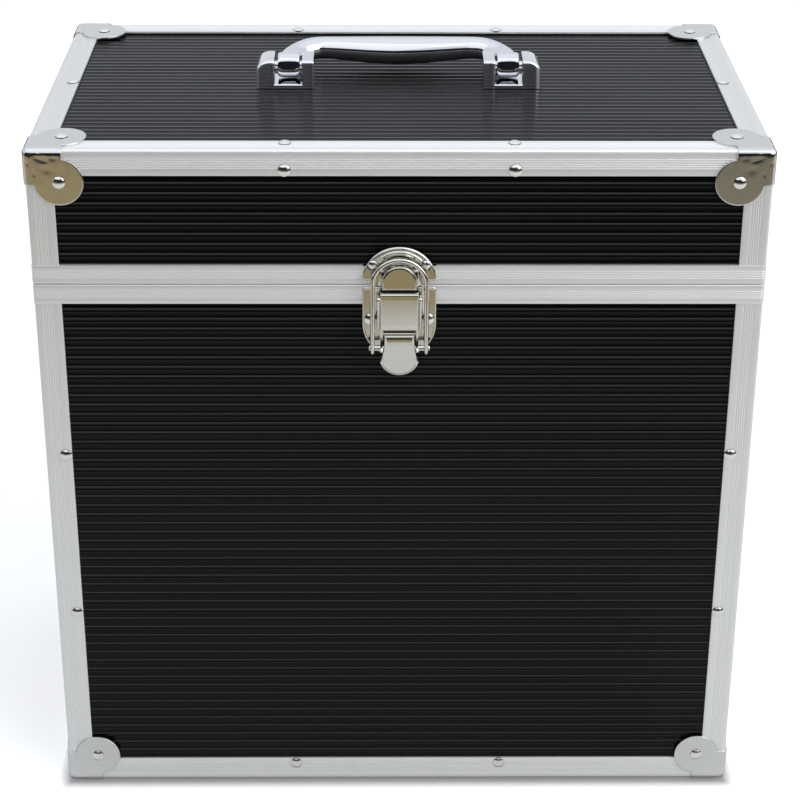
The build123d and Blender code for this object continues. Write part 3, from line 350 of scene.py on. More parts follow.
def board(name, body, half, low, high, middle, span, place):
    """Carries a board's section from -half to half. place turns (along, height, depth) into a point. The
    section's last three lines are its sawn edges and its back. Each point then notes how far it is raised,
    from 0 on the flat to 1 on a bead's crest."""
    height, depth = beaded(low, high, middle, span)
    height = np.concatenate([height, [high, low]])
    depth = np.concatenate([depth, [BOARD, BOARD]])
    section = np.stack(place(np.array([[-half], [half]]), height, depth), -1)
    layer = np.repeat([0, 1], [len(height) - 3, 3])
    made = make(name + "_beaded", [closed(section, layer)], [facing_plastic, hardboard])
    outwards = np.array(place(0.0, 0.0, -1.0)) - np.array(place(0.0, 0.0, 0.0))
    points = np.empty(len(made.data.vertices) * 3)
    made.data.vertices.foreach_get("co", points)
    level = points.reshape(-1, 3) @ outwards * 1000
    raised = np.clip(1 - (level.max() - level) / BEAD_HIGH, 0, 1)
    made.data.attributes.new("raised", "FLOAT", "POINT").data.foreach_set("value", raised)
    fit(made, body, "fluted_board", name)


def towards_front(along, height, depth):
    return np.broadcast_arrays(along, -Y_FACE + depth, height)


def towards_back(along, height, depth):
    return np.broadcast_arrays(-along, Y_FACE - depth, height)


def towards_left(along, height, depth):
    return np.broadcast_arrays(-X_FACE + depth, -along, height)


def towards_right(along, height, depth):
    return np.broadcast_arrays(X_FACE - depth, along, height)


def towards_top(along, height, depth):
    return np.broadcast_arrays(along, height, LID_FACE - depth)


def towards_floor(along, height, depth):
    return np.broadcast_arrays(along, -height, FOOT + WALL + depth)


WALLS = {
    "front": (X_FACE, towards_front),
    "back": (X_FACE, towards_back),
    "left": (Y_BACK, towards_left),
    "right": (Y_BACK, towards_right),
}
# The sheets are sawn where they fall, so their rows of beads lie a little off the middle of each opening.
BODY_ROWS_OFF, LID_ROWS_OFF, TOP_ROWS_OFF = -1.7, -1.8, -1.5

low, high = FOOT + WALL, SEAM - GAP - WEB
middle, span = (FOOT + LEG + SEAM - RIM) / 2 + BODY_ROWS_OFF, SEAM - RIM - FOOT - LEG
for side, (half, place) in WALLS.items():
    board(f"{side}_panel", "body", half, low, high, middle, span, place)
board("bottom_panel", "body", X_BACK, -Y_BACK, Y_BACK, 0, DEPTH - 2 * LEG, towards_floor)
low, high = SEAM + GAP + MOUTH + WEB, LID_FACE - BOARD
middle, span = (TOP - LEG + SEAM + LID_RIM) / 2 + LID_ROWS_OFF, TOP - LEG - SEAM - LID_RIM
for side, (half, place) in WALLS.items():
    board(f"lid_{side}_panel", "lid", half, low, high, middle, span, place)
board("lid_top_panel", "lid", X_FACE, -Y_FACE, Y_FACE, TOP_ROWS_OFF, DEPTH - 2 * LEG, towards_top)


# The frame is aluminium angle, extruded with five fine ribs along the middle of each leg and a rounded lip,
# then etched and clear anodised. The lengths round the top and the bottom are mitred.
EDGE_ROUND = 1.3
RIB, RIB_DEEP, RIBS, RIBS_START = 1.15, 0.2, 5, 3.7
LIP_FROM_END, LIP_SUNK = np.array([0.5, 0.2, 0.05, 0.0]), [0.0, 0.06, 0.2, 0.45]

satin, tree = material("satin_anodised_aluminium")
# Extrusion draws faint lines along the metal. The real ones are 0.1 mm apart, and these are 0.5 mm.
travelled = node(tree, "UVMap", uv_map="UVMap").outputs[0]
drawn = node(tree, "Mapping", {"Vector": travelled, "Scale": (6.0, 2000.0, 1.0)}).outputs[0]
lines = node(tree, "TexNoise", {"Vector": drawn, "Scale": 1.0, "Detail": 3.0}).outputs[0]
place = node(tree, "TexCoord").outputs["Object"]
cloud = node(tree, "TexNoise", {"Vector": place, "Scale": 30.0, "Detail": 3.0}).outputs[0]
etched = node(
    tree, "MapRange", {"Value": cloud, "From Min": 0.3, "From Max": 0.7, "To Min": 0.46, "To Max": 0.52}
).outputs[0]
colour = node(
    tree, "Mix", {0: lines, 6: linear("#dcdcd9"), 7: linear("#e4e4e1")}, data_type="RGBA"
).outputs[2]
# A painted highlight: the front and back edges of the top are painted brighter than the rest.
apart = node(tree, "SeparateXYZ", {0: place}).outputs
across = node(tree, "Math", {0: apart["Y"]}, operation="ABSOLUTE").outputs[0]
# It fades in over 2 mm across the leg's inner edge, and over the uppermost 1.5 mm of the metal.
leg_from = (DEPTH / 2 - LEG - 1.25) / 1000
near_edge = node(
    tree, "MapRange", {"Value": across, "From Min": leg_from, "From Max": leg_from + 0.002}
).outputs[0]
skin = (TOP - 0.7) / 1000
on_top = node(
    tree, "MapRange", {"Value": apart["Z"], "From Min": skin - 0.0015, "From Max": skin}
).outputs[0]
painted_edge_highlight = node(tree, "Math", {0: near_edge, 1: on_top}, operation="MULTIPLY").outputs[0]
# The painted highlight lifts the metal's colour there.
colour = node(tree, "Mix", {0: painted_edge_highlight, 6: colour, 7: linear("#ededed")}, data_type="RGBA").outputs[2]
relief = node(tree, "Bump", {"Height": lines, "Strength": 0.05, "Distance": 0.0001}).outputs[0]
metal = node(
    tree, "BsdfPrincipled", {"Base Color": colour, "Metallic": 0.7, "Roughness": etched, "Normal": relief}
).outputs[0]
node(tree, "OutputMaterial", {"Surface": metal})


def ribbed(start, count):
    """Gives fine ribs from start as distances and depths: the depth is RIB_DEEP times half of one minus
    the cosine of the turn, once for each rib."""
    turn = np.arange(count * 8 + 1) * np.pi / 4
    return start + turn / (2 * np.pi) * RIB, RIB_DEEP * (1 - np.cos(turn)) / 2


def quarter(radius, count=6):
    """Gives a quarter circle that meets both axes, as distances from each of them."""
    turn = np.radians(np.linspace(0, 90, count))
    return radius * (1 - np.cos(turn)), radius * (1 - np.sin(turn))


def angle_section():
    """Gives the angle's section as depths from its two outer faces: up one leg, round the outer edge,
    along the other leg, and back inside both."""
    ribs, sunk = ribbed(RIBS_START, RIBS)
    leg = np.concatenate([ribs, LEG - LIP_FROM_END])
    low = np.concatenate([sunk, LIP_SUNK])
    one, other = quarter(EDGE_ROUND)
    first = np.concatenate([low[::-1], one, leg, [LEG, WALL, WALL]])
    second = np.concatenate([leg[::-1], other, low, [WALL, WALL, LEG]])
    return first, second


def round_case(side, depth, height, half_x, half_y, radius, steps=5):
    """Carries a section along one side of the case, from the middle of one corner to the middle of the
    next. A point nearer the outside than radius turns on an arc, and a deeper one ends at the mitre."""
    half, away = (half_x, half_y) if side in ("front", "back") else (half_y, half_x)
    turn = np.radians(np.linspace(0, 45, steps))[:, None]
    bend = np.maximum(radius - depth, 0)
    deep = np.maximum(radius, depth)
    along = half - deep + bend * np.sin(turn)
    out = away - deep + bend * np.cos(turn)
    along, out = np.concatenate([-along[::-1], along]), np.concatenate([out[::-1], out])
    x, y = {
        "front": (along, -out),
        "back": (-along, out),
        "left": (-out, -along),
        "right": (out, along),
    }[side]
    return np.stack([x, y, np.broadcast_to(height, x.shape)], -1)


first, second = angle_section()
for side in WALLS:
    run = round_case(side, first, FOOT + second, WIDTH / 2, DEPTH / 2, EDGE_ROUND)
    angle = make(f"bottom_angle_{side}", [closed(run)], [satin])
    fit(angle, "body", "frame_aluminium", f"bottom_edge_{side}")
    run = round_case(side, first, TOP - second, WIDTH / 2, DEPTH / 2, EDGE_ROUND)
    angle = make(f"top_angle_{side}", [closed(run)], [satin])
    fit(angle, "lid", "frame_aluminium", f"top_edge_{side}")

# The same angle stands at the four upright corners, cut square between the lengths above and below it.
CORNERS = {"front_left": (-1, -1), "front_right": (1, -1), "back_left": (-1, 1), "back_right": (1, 1)}


def upright(side_x, side_y, low, high):
    """Carries the angle's section straight up one corner of the case."""
    level = np.array([[low], [high]])
    x = side_x * (WIDTH / 2 - first)
    y = side_y * (DEPTH / 2 - second)
    return np.stack(np.broadcast_arrays(x, y, level), -1)


for name, (side_x, side_y) in CORNERS.items():
    run = upright(side_x, side_y, FOOT + LEG, SEAM - RIM)
    post = make(f"upright_angle_{name}", [closed(run)], [satin])
    fit(post, "body", "frame_aluminium", f"corner_post_{name}")
runs = [closed(upright(*sides, SEAM + LID_RIM, TOP - LEG)) for sides in CORNERS.values()]
fit(make("lid_upright_angles", runs, [satin]), "lid", "frame_aluminium", "lid_corner_posts")


# The rims are aluminium channels round the mouth: the body's carries a tongue, and the lid's is open below
# to take it. Each has four fine ribs on its outer face and is bent round the corners.
PROUD, RIM_ROUND, RIM_RIBS, RIM_RIBS_START = 0.4, 2.4, 4, 2.9
RIM_OUT, RIM_IN, RIM_BACK = PROUD + WALL, PROUD + WALL + BOARD, PROUD + 2 * WALL + BOARD
TONGUE, TONGUE_HIGH = 1.5, 2.5
FACE_FROM_END, FACE_SUNK = np.array([0.0, 0.12, 0.4]), [0.4, 0.1, 0.0]
ribs, sunk = ribbed(RIM_RIBS_START, RIM_RIBS)
lip, lip_up = quarter(0.5, 4)
tongue = PROUD + WALL + (BOARD - TONGUE) / 2
tip = GAP - TONGUE_HIGH
depth = np.concatenate(
    [
        FACE_SUNK,
        sunk[::-1],
        lip,
        tongue + np.array([0, 0, 0.2, TONGUE - 0.2, TONGUE, TONGUE]),
        [RIM_BACK, RIM_BACK, RIM_IN, RIM_IN, RIM_OUT, RIM_OUT],
    ]
)
below = np.concatenate(
    [
        RIM - FACE_FROM_END,
        ribs[::-1],
        GAP + lip_up,
        [GAP, tip + 0.2, tip, tip, tip + 0.2, GAP],
        [GAP, RIM, RIM, GAP + WEB, GAP + WEB, RIM],
    ]
)
for side in WALLS:
    run = round_case(side, depth, SEAM - below, WIDTH / 2 + PROUD, DEPTH / 2 + PROUD, RIM_ROUND)
    rim = make(f"body_mouth_channel_{side}", [closed(run)], [satin])
    fit(rim, "body", "frame_aluminium", f"body_rim_{side}")

depth = np.concatenate(
    [
        FACE_SUNK,
        sunk[::-1],
        lip,
        [RIM_OUT, RIM_OUT, RIM_IN, RIM_IN, RIM_BACK, RIM_BACK, RIM_IN, RIM_IN, RIM_OUT, RIM_OUT],
    ]
)
roof = GAP + MOUTH + WEB
over = np.concatenate(
    [
        LID_RIM - FACE_FROM_END,
        ribs[::-1],
        GAP + lip_up,
        [GAP, GAP + MOUTH, GAP + MOUTH, GAP, GAP, LID_RIM, LID_RIM, roof, roof, LID_RIM],
    ]
)
for side in WALLS:
    run = round_case(side, depth, SEAM + over, WIDTH / 2 + PROUD, DEPTH / 2 + PROUD, RIM_ROUND)
    rim = make(f"lid_mouth_channel_{side}", [closed(run)], [satin])
    fit(rim, "lid", "frame_aluminium", f"lid_rim_{side}")


# The corner caps are 1 mm steel, pressed in one piece into a box corner with a round ear on each face, and
# nickel plated. The press leaves a hollow each side of the corner where the metal was drawn in.
CAP, CAP_ROUND, CAP_BOX, EAR_AT, EAR_RADIUS = 1.0, 3.3, 18.6, 16.8, 11.6

nickel, tree = material("nickel_plated_steel")
place = node(tree, "TexCoord").outputs["Object"]
# Plating follows the rolled sheet, whose waves are about 8 mm apart, and handling clouds it.
waves = node(tree, "TexNoise", {"Vector": place, "Scale": 120.0, "Detail": 1.0}).outputs[0]
relief = node(tree, "Bump", {"Height": waves, "Strength": 0.12, "Distance": 0.0002}).outputs[0]
haze = node(tree, "TexNoise", {"Vector": place, "Scale": 300.0, "Detail": 5.0}).outputs[0]
clouded = node(
    tree, "MapRange", {"Value": haze, "From Min": 0.3, "From Max": 0.75, "To Min": 0.07, "To Max": 0.16}
).outputs[0]
plate = node(
    tree,
    "BsdfPrincipled",
    {"Base Color": linear("#d1d1cf"), "Metallic": 1.0, "Roughness": clouded, "Normal": relief},
).outputs[0]
node(tree, "OutputMaterial", {"Surface": plate})

# The outline of a face, seen from the outer corner, is one end of the box, the ear, and the other end. Rings
# of the same outline grow from the corner, roll over the sheet's edge and go back along its inner side.
RINGS = 25
turn = np.radians(np.linspace(-74, 164, 41))
ear = EAR_AT + EAR_RADIUS * np.stack([np.cos(turn), np.sin(turn)], 1)
notch = EAR_AT - np.sqrt(EAR_RADIUS**2 - (CAP_BOX - EAR_AT) ** 2)
box_end = np.array([(CAP_BOX, edge) for edge in (0, 0.3, 0.7, 1.2, 1.8, 2.5, 3.3, 4.2, notch)])
outline = np.concatenate([box_end, ear, box_end[::-1, ::-1]])
run = np.gradient(outline, axis=0)
out = np.stack([run[:, 1], -run[:, 0]], 1) / np.linalg.norm(run, axis=1, keepdims=True)
rolled = np.array([(0.3, 0.0), (0.15, 0.03), (0.04, 0.12), (0.0, 0.28), (0.0, 1.0)])
share = np.concatenate([np.linspace(0, 1, RINGS + 1)[:-1] ** 0.9, np.ones(len(rolled)), [0.55, 0.0]])
inset = np.concatenate([np.full(RINGS, 0.35), rolled[:, 0], [0.0, 0.0]])
sink = np.concatenate([np.zeros(RINGS), rolled[:, 1], [CAP, CAP]])
flat = (outline[None] - inset[:, None, None] * out[None]) * share[:, None, None]

# Each hollow's depth, its place from the corner along and across, and its spread along and across.
DRAWN = [
    (0.06, 7.6, 4.9, 1.6, 1.0),
    (0.08, 10.2, 6.0, 2.0, 1.1),
    (0.05, 14.2, 4.9, 2.0, 1.0),
    (0.08, 2.2, 7.4, 1.0, 1.0),
    (0.05, 5.6, 12.6, 1.0, 1.2),
    (0.07, 11.4, 10.6, 2.6, 2.0),
]


def pressed_corner(order):
    """Folds one flat face onto the corner, with its axes in the given order. Each point moves onto the
    rounded box: from the nearest point at least CAP_ROUND inside, out along the same direction. A hollow
    is its depth times e to the minus square of the distance from its place, counted in its spreads."""
    across, down = flat[..., 0], flat[..., 1]
    solid = np.stack([across, down, np.zeros_like(across)], -1)
    core = np.maximum(solid, CAP_ROUND)
    outwards = (solid - core) / np.linalg.norm(solid - core, axis=-1, keepdims=True)
    hollow = sum(
        high * np.exp(-(((across - a) / wide) ** 2 + ((down - d) / tall) ** 2))
        for high, a, d, wide, tall in DRAWN
    )
    deep = np.where(sink[:, None] > 0, sink[:, None], hollow)
    return (core + (CAP_ROUND - deep[..., None]) * outwards)[..., order]


corner = [pressed_corner(order) for order in ([0, 2, 1], [2, 1, 0], [0, 1, 2])]
CAPPED = (("lid", "lid_cap", TOP + CAP, -1), ("body", "bottom_cap", FOOT - CAP, 1))
for name, (side_x, side_y) in CORNERS.items():
    for body, prefix, level, rise in CAPPED:
        outer = np.array([side_x * (WIDTH / 2 + CAP), side_y * (DEPTH / 2 + CAP), level])
        into = np.array([-side_x, -side_y, rise])
        faces = [(outer + face * into, False, False, 0) for face in corner]
        cap = make(f"{prefix}_pressed_{name}", faces, [nickel], 60)
        fit(cap, body, "cap_steel", f"{prefix}_{name}")


# Dome rivets of nickelled steel hold the frame, the caps, the hinge leaves and the latch to the boards. The
# heads are turned up by the press, and those under the bottom caps, which the case stands on, are worn flat.
HEAD, DOME, BURIED, WORN_FLAT = 3.0, 1.2, 0.3, 1.4
# The ring of painted shade round each head stands this far out from its rim and this high above its foot.
SHADE_RING_OUT, SHADE_RING_HIGH = 0.04, 0.22
MIDDLE_RIVET, INSET, EAR, POST_RIVETS = 54, 10.1, 15.8, (FOOT + 104.9, FOOT + 197.3)
LEAF, HINGE_X, LEAF_RIVET, LEAF_ROW = 1.5, 100.0, 14, 18
LATCH_FLAT, BASE_RIVET, KEEPER_RIVET = 1.6, (13.7, SEAM - 17.6), (12.6, SEAM + 10.7)
SMALL_HEAD, SMALL_FLATTER, SMALL_SUNK = 2.2, 0.75, 0.35

bright, tree = material("nickelled_rivet_steel")
place = node(tree, "TexCoord").outputs["Object"]
# The setting tool leaves marks a few tenths of a millimetre across.
marks = node(tree, "TexNoise", {"Vector": place, "Scale": 1500.0, "Detail": 2.0}).outputs[0]
rub_marks_and_painted_highlight = node(
    tree, "MapRange", {"Value": marks, "From Min": 0.3, "From Max": 0.7, "To Min": 0.10, "To Max": 0.20}
).outputs[0]
struck = node(
    tree, "BsdfPrincipled", {"Base Color": linear("#e3e2de"), "Metallic": 1.0, "Roughness": rub_marks_and_painted_highlight}
).outputs[0]
node(tree, "OutputMaterial", {"Surface": struck})


def turned(profile, centres, axis, facets=28):
    """Turns a profile of (radius, height) round an axis at each centre: the centre, plus the height along
    the axis, plus the radius times the cosine and the sine of the turn across it."""
    axis = np.array(axis, float)
    side = np.cross(axis, (0, 0, 1) if abs(axis[2]) < 0.5 else (0, 1, 0))
    turn = np.linspace(0, 2 * np.pi, facets, endpoint=False)
    wheel = np.cos(turn)[:, None] * side + np.sin(turn)[:, None] * np.cross(axis, side)
    profile = np.array(profile, float)
    rings = profile[:, 1, None, None] * axis + profile[:, 0, None, None] * wheel
    return [closed(np.array(centre) + rings) for centre in centres]


# Painted shade: a matt, nearly black ring stands for the shade in the crevice round each rivet head.
crevice_shade, tree = material("painted_crevice_shade")
dark_matt = node(tree, "BsdfPrincipled", {"Base Color": linear("#232327"), "Roughness": 0.8}).outputs[0]
node(tree, "OutputMaterial", {"Surface": dark_matt})

# A dome is part of a sphere: the sine and the cosine of its tilt, up to 33 degrees at the rim.
tilt = np.radians(np.linspace(0, 33, 8))[::-1]
sphere = HEAD / np.sin(tilt[0])
dome = np.stack([sphere * np.sin(tilt), DOME - sphere * (1 - np.cos(tilt))], 1)
dome = np.concatenate([[(HEAD - 0.15, -BURIED), (HEAD, 0.0)], dome[:-1], [(0.01, DOME)]])
worn = dome[dome[:, 0] > WORN_FLAT]
worn = np.concatenate([worn * [1, DOME / worn[-1, 1]], [(0.01, DOME)]])


def heads(places, way, profile=dome):
    """Sets rivet heads at these places, each with a line of painted shade round its foot."""
    buried, (radius, foot) = profile[0][1], profile[1]
    line = [(radius + SHADE_RING_OUT, buried), (radius + SHADE_RING_OUT, foot + SHADE_RING_HIGH)]
    shade_rings = [(rings, True, False, 1) for rings, *_ in turned(line, places, way)]
    return turned(profile, places, way) + shade_rings


FRONT, BACK, LEFT, RIGHT, UP, DOWN = (0, -1, 0), (0, 1, 0), (-1, 0, 0), (1, 0, 0), (0, 0, 1), (0, 0, -1)
x, y, rise, fall = WIDTH / 2 - INSET, DEPTH / 2 - INSET, FOOT + INSET, TOP - INSET
ear_x, ear_y, ear_low, ear_high = WIDTH / 2 - EAR, DEPTH / 2 - EAR, FOOT + EAR, TOP - EAR
ends = (-1, 1)
hinges = [h + d for h in (-HINGE_X, HINGE_X) for d in (-LEAF_RIVET, LEAF_RIVET)]
low_heads, high_heads = [], []
for way, sign in ((FRONT, -1), (BACK, 1)):
    wall, cap_face, leaf_face = sign * DEPTH / 2, sign * (DEPTH / 2 + CAP), Y_FACE + LEAF
    places = [(e * MIDDLE_RIVET, wall, rise) for e in ends]
    places += [(e * x, wall, z) for e in ends for z in POST_RIVETS]
    places += [(e * ear_x, cap_face, ear_low) for e in ends]
    places += [(h, leaf_face, SEAM - LEAF_ROW) for h in hinges] if way == BACK else []
    low_heads += heads(places, way)
    places = [(e * MIDDLE_RIVET, wall, fall) for e in ends]
    places += [(e * ear_x, cap_face, ear_high) for e in ends]
    places += [(h, leaf_face, SEAM + LEAF_ROW) for h in hinges] if way == BACK else []
    high_heads += heads(places, way)
for way, sign in ((LEFT, -1), (RIGHT, 1)):
    wall, cap_face = sign * WIDTH / 2, sign * (WIDTH / 2 + CAP)
    places = [(wall, 0, rise)] + [(wall, e * y, z) for e in ends for z in POST_RIVETS]
    low_heads += heads(places + [(cap_face, e * ear_y, ear_low) for e in ends], way)
    high_heads += heads([(wall, 0, fall)] + [(cap_face, e * ear_y, ear_high) for e in ends], way)
places = [(e * MIDDLE_RIVET, row) for e in ends for row in (-y, y)] + [(e * x, 0) for e in ends]
low_heads += heads([(*at, FOOT) for at in places], DOWN)
high_heads += heads([(*at, TOP) for at in places], UP)
ears = [(a * ear_x, b * ear_y) for a in ends for b in ends]
high_heads += heads([(*at, TOP + CAP) for at in ears], UP)
small = dome * [SMALL_HEAD / HEAD, SMALL_FLATTER] - [0, SMALL_SUNK]
on_keeper = [(e * KEEPER_RIVET[0], -DEPTH / 2 - LATCH_FLAT, KEEPER_RIVET[1]) for e in ends]
high_heads += heads(on_keeper, FRONT, small)
feet = turned(worn, [(*at, FOOT - CAP) for at in ears], DOWN)
on_base = [(e * BASE_RIVET[0], -DEPTH / 2 - LATCH_FLAT, BASE_RIVET[1]) for e in ends]
catch_heads = heads(on_base, FRONT)
# The second finish of the rivet heads is the painted shade round their feet.
fit(make("rivet_heads_of_body", low_heads, [bright, crevice_shade], 50), "body", "rivet_steel", "body_rivets")
fit(make("rivet_heads_of_lid", high_heads, [bright, crevice_shade], 50), "lid", "rivet_steel", "lid_rivets")
fit(make("worn_feet", feet, [bright], 50), "body", "rivet_steel", "foot_rivets")
fit(make("rivet_heads_of_latch", catch_heads, [bright, crevice_shade], 50), "body", "rivet_steel", "latch_rivets")


# The lining is 3 mm EVA foam: a floor, a band round the walls and a tray in the lid, glued to the boards. It
# is soft, so its faces swell a little between their edges, and the tray dips round the handle's screws.
LINING, SLIP = 3.0, 0.05
FLOOR_TOP, CEILING = FOOT + WALL + BOARD + LINING, LID_FACE - BOARD
SWELL, SOFT_EDGE, SOFT_EDGE_DEEP, DIP, DIP_FROM, DIP_WIDE = 0.3, 1.5, 0.9, 2.6, 6.2, 1.6

eva, tree = material("black_eva_foam")
place = node(tree, "TexCoord").outputs["Object"]
# Cut foam shows closed cells about 0.3 mm across, drawn here at 0.7 mm.
cells = node(tree, "TexVoronoi", {"Vector": place, "Scale": 1400.0}).outputs["Distance"]
nap = node(tree, "TexNoise", {"Vector": place, "Scale": 60.0, "Detail": 4.0}).outputs[0]
colour = node(
    tree, "Mix", {0: nap, 6: linear("#1b1b1d"), 7: linear("#2c2c2f")}, data_type="RGBA"
).outputs[2]
relief = node(tree, "Bump", {"Height": cells, "Strength": 0.35, "Distance": 0.0003}).outputs[0]
foam = node(
    tree,
    "BsdfPrincipled",
    {"Base Color": colour, "Roughness": 0.92, "Normal": relief, "Sheen Weight": 0.3},
).outputs[0]
node(tree, "OutputMaterial", {"Surface": foam})


def lines_near(half, spots, close, steps):
    """Gives grid lines from -half to half: even ones, and closer ones within close of each spot."""
    even = np.linspace(-half, half, steps)
    near = [np.linspace(spot - close, spot + close, 17) for spot in spots]
    return np.unique(np.round(np.concatenate([even, *near]), 3))


def slab(half_x, half_y, low, high, spots, sign):
    """Gives a sheet of foam as its soft face and its glued face. The soft face is highest in its middle and
    falls by SWELL times one minus the product of two cosines. It falls by the square of the distance into
    its soft edge, and it dips at each spot on a curve of three squares minus two cubes."""
    x = lines_near(half_x, [s[0] for s in spots], 7.0, 41)
    y = lines_near(half_y, [s[1] for s in spots], 7.0, 25)
    x, y = np.meshgrid(x, y, indexing="ij")
    fall = SWELL * (1 - np.cos(np.pi * x / half_x / 2) * np.cos(np.pi * y / half_y / 2))
    edge = np.minimum(half_x - abs(x), half_y - abs(y))
    fall = fall + SOFT_EDGE_DEEP * np.clip(1 - edge / SOFT_EDGE, 0, 1) ** 2
    for spot in spots:
        away = np.hypot(x - spot[0], y - spot[1])
        share = np.clip((DIP_FROM - away) / DIP_WIDE, 0, 1)
        fall = fall + DIP * share**2 * (3 - 2 * share)
    soft = np.stack([x, y, np.where(sign > 0, high - fall, low + fall)], -1)
    glued = np.stack([x, y, np.full_like(x, low if sign > 0 else high)], -1)
    return soft, glued


def slab_surfaces(soft, glued):
    """Joins the two faces of a slab by its four narrow edges."""
    edges = [
        np.stack([soft[0], glued[0]]),
        np.stack([soft[-1], glued[-1]]),
        np.stack([soft[:, 0], glued[:, 0]]),
        np.stack([soft[:, -1], glued[:, -1]]),
    ]
    return [(face, False, False, 0) for face in [soft, glued, *edges]]


floor_low = FLOOR_TOP - LINING + SLIP
sheet = slab(X_BACK - LINING - 0.1, Y_BACK - LINING - 0.1, floor_low, FLOOR_TOP, [], 1)
pad = make("foam_floor", slab_surfaces(*sheet), [eva])
fit(pad, "body", "foam_lining", "floor_lining")


def band(low, high):
    """Carries the foam band's section round the four walls: its inner face swells between rounded edges."""
    deep = np.array([SLIP, SLIP, 1.8, 2.4, 2.7, 2.85, LINING, 2.85, 2.7, 2.4, 1.8])
    share = np.array([0.0, 1.0, 1.0, 0.997, 0.985, 0.75, 0.5, 0.25, 0.015, 0.003, 0.0])
    level = low + share * (high - low)
    sides = ("front", "right", "back", "left")
    return [(round_case(s, deep, level, X_BACK, Y_BACK, 0.0, 2), True, False, 0) for s in sides]


pad = make("foam_wall_band", band(floor_low, SEAM - RIM - SLIP), [eva])
fit(pad, "body", "foam_lining", "body_wall_lining")

HANDLE_Y = 4.4
SCREWS = [(side * x, HANDLE_Y) for side in (-1, 1) for x in (45.8, 67.0)]
sheet = slab(X_BACK - 0.1, Y_BACK - 0.1, CEILING - LINING, CEILING - SLIP, SCREWS, -1)
tray = slab_surfaces(*sheet) + band(SEAM + LID_RIM + SLIP, CEILING - LINING - SLIP)
pad = make("foam_lid_tray", tray, [eva])
fit(pad, "lid", "foam_lining", "lid_lining")


# The hinges are zinc-plated steel: leaves stepped over the rim and rolled into knuckles round a pin, with
# heels below that stop the opened lid. The same zinc is on the screws that hold the handle from inside.
zinc, tree = material("zinc_plated_steel")
place = node(tree, "TexCoord").outputs["Object"]
# Barrel plating leaves a slightly blue, cloudy coat with grains of about 1 mm.
grains = node(tree, "TexNoise", {"Vector": place, "Scale": 500.0, "Detail": 4.0}).outputs[0]
colour = node(
    tree, "Mix", {0: grains, 6: linear("#b9bec4"), 7: linear("#d3d6d8")}, data_type="RGBA"
).outputs[2]
cloudy = node(
    tree, "MapRange", {"Value": grains, "From Min": 0.3, "From Max": 0.7, "To Min": 0.24, "To Max": 0.36}
).outputs[0]
coat = node(tree, "BsdfPrincipled", {"Base Color": colour, "Metallic": 1.0, "Roughness": cloudy}).outputs[0]
node(tree, "OutputMaterial", {"Surface": coat})


def arc(centre, radius, start, end, count=13):
    """Gives points on an arc between two angles in degrees."""
    turn = np.radians(np.linspace(start, end, count))
    return np.array(centre) + radius * np.stack([np.cos(turn), np.sin(turn)], 1)


def between(start, end, count):
    """Gives the points that divide a straight line, without its two ends."""
    share = np.linspace(0, 1, count + 2)[1:-1, None]
    return np.array(start) + share * (np.array(end, float) - start)


def moved_in(outline, out, step):
    """Moves every point of an outline inwards by one step. Where a corner is tighter than the step, its
    points stop where the lines beside it meet: each goes back over the nearby line that it is furthest
    past."""
    ring = outline - step * out
    near = np.linalg.norm(outline[:, None] - outline, axis=2) < 2.5 * step + 0.3
    for _ in range(12 if step > 0 else 0):
        past = np.where(near, np.sum((ring[:, None] - outline) * out, axis=2) + step, 0.0)
        worst = past.argmax(1)
        ring = ring - np.clip(past.max(1), 0, None)[:, None] * out[worst]
    return ring


def terraces(outline, steps, fill=()):
    """Stacks rings of one closed outline, as (across, up, level). Each step (inset, level) moves the
    outline inwards, and each fill (share, level) then shrinks the last ring to its middle."""
    run = np.roll(outline, -1, 0) - np.roll(outline, 1, 0)
    out = np.stack([run[:, 1], -run[:, 0]], 1) / np.linalg.norm(run, axis=1, keepdims=True)
    steps = np.array(steps, float)
    rings = np.stack([moved_in(outline, out, step) for step in steps[:, 0]])
    middle = rings[-1].mean(0)
    fill = np.array(fill, float).reshape(-1, 2)
    rings = np.concatenate([rings, middle + fill[:, 0, None, None] * (rings[-1] - middle)])
    level = np.concatenate([steps[:, 1], fill[:, 1]])[:, None, None]
    return np.concatenate([rings, np.broadcast_to(level, (*rings.shape[:2], 1))], -1)


# Leaves are drawn as one half of a hinge, with up as the distance from the pin. A leaf steps down from the
# rim to the board over a soft S, and its free corners are rounded.
HINGE_HALF, KNUCKLE, KNUCKLE_END, LEAF_HIGH = 20.0, 3.0, 8.0, 25.0
LEAF_ROUND, LEAF_BEVEL, S_BEND = 3.0, 0.3, 1.5
HINGE_Y, RIM_FACE = DEPTH / 2 + PROUD + KNUCKLE + 0.3, DEPTH / 2 + PROUD


def leaf(middle, way):
    """Carries a leaf's section away from the pin: it is HINGE_HALF wide each way, with bevelled edges, and
    past the rim its back moves from the rim's face to the board's on half a cosine."""
    step = RIM + 0.4
    corner = LEAF_ROUND * np.sin(np.radians(np.linspace(0, 90, 8)))
    bend = step + np.linspace(0, S_BEND, 7)[1:]
    up = np.concatenate([[0.2, 0.6, step], bend, [19.0], LEAF_HIGH - LEAF_ROUND + corner])
    rounded = LEAF_ROUND - np.sqrt(LEAF_ROUND**2 - corner[:-1] ** 2)
    narrow = np.concatenate([[0.25], np.zeros(9), rounded, [2.6]])
    share = (1 - np.cos(np.pi * np.clip((up - step) / S_BEND, 0, 1))) / 2
    back = RIM_FACE + (Y_FACE - RIM_FACE) * share
    half = HINGE_HALF - narrow
    x = np.stack([-half, -half, LEAF_BEVEL - half, half - LEAF_BEVEL, half, half], 1)
    deep = np.array([0, LEAF - LEAF_BEVEL, LEAF, LEAF, LEAF - LEAF_BEVEL, 0])
    z = np.broadcast_to(SEAM + way * up[:, None], x.shape)
    return np.stack([middle + x, back[:, None] + deep, z], -1)


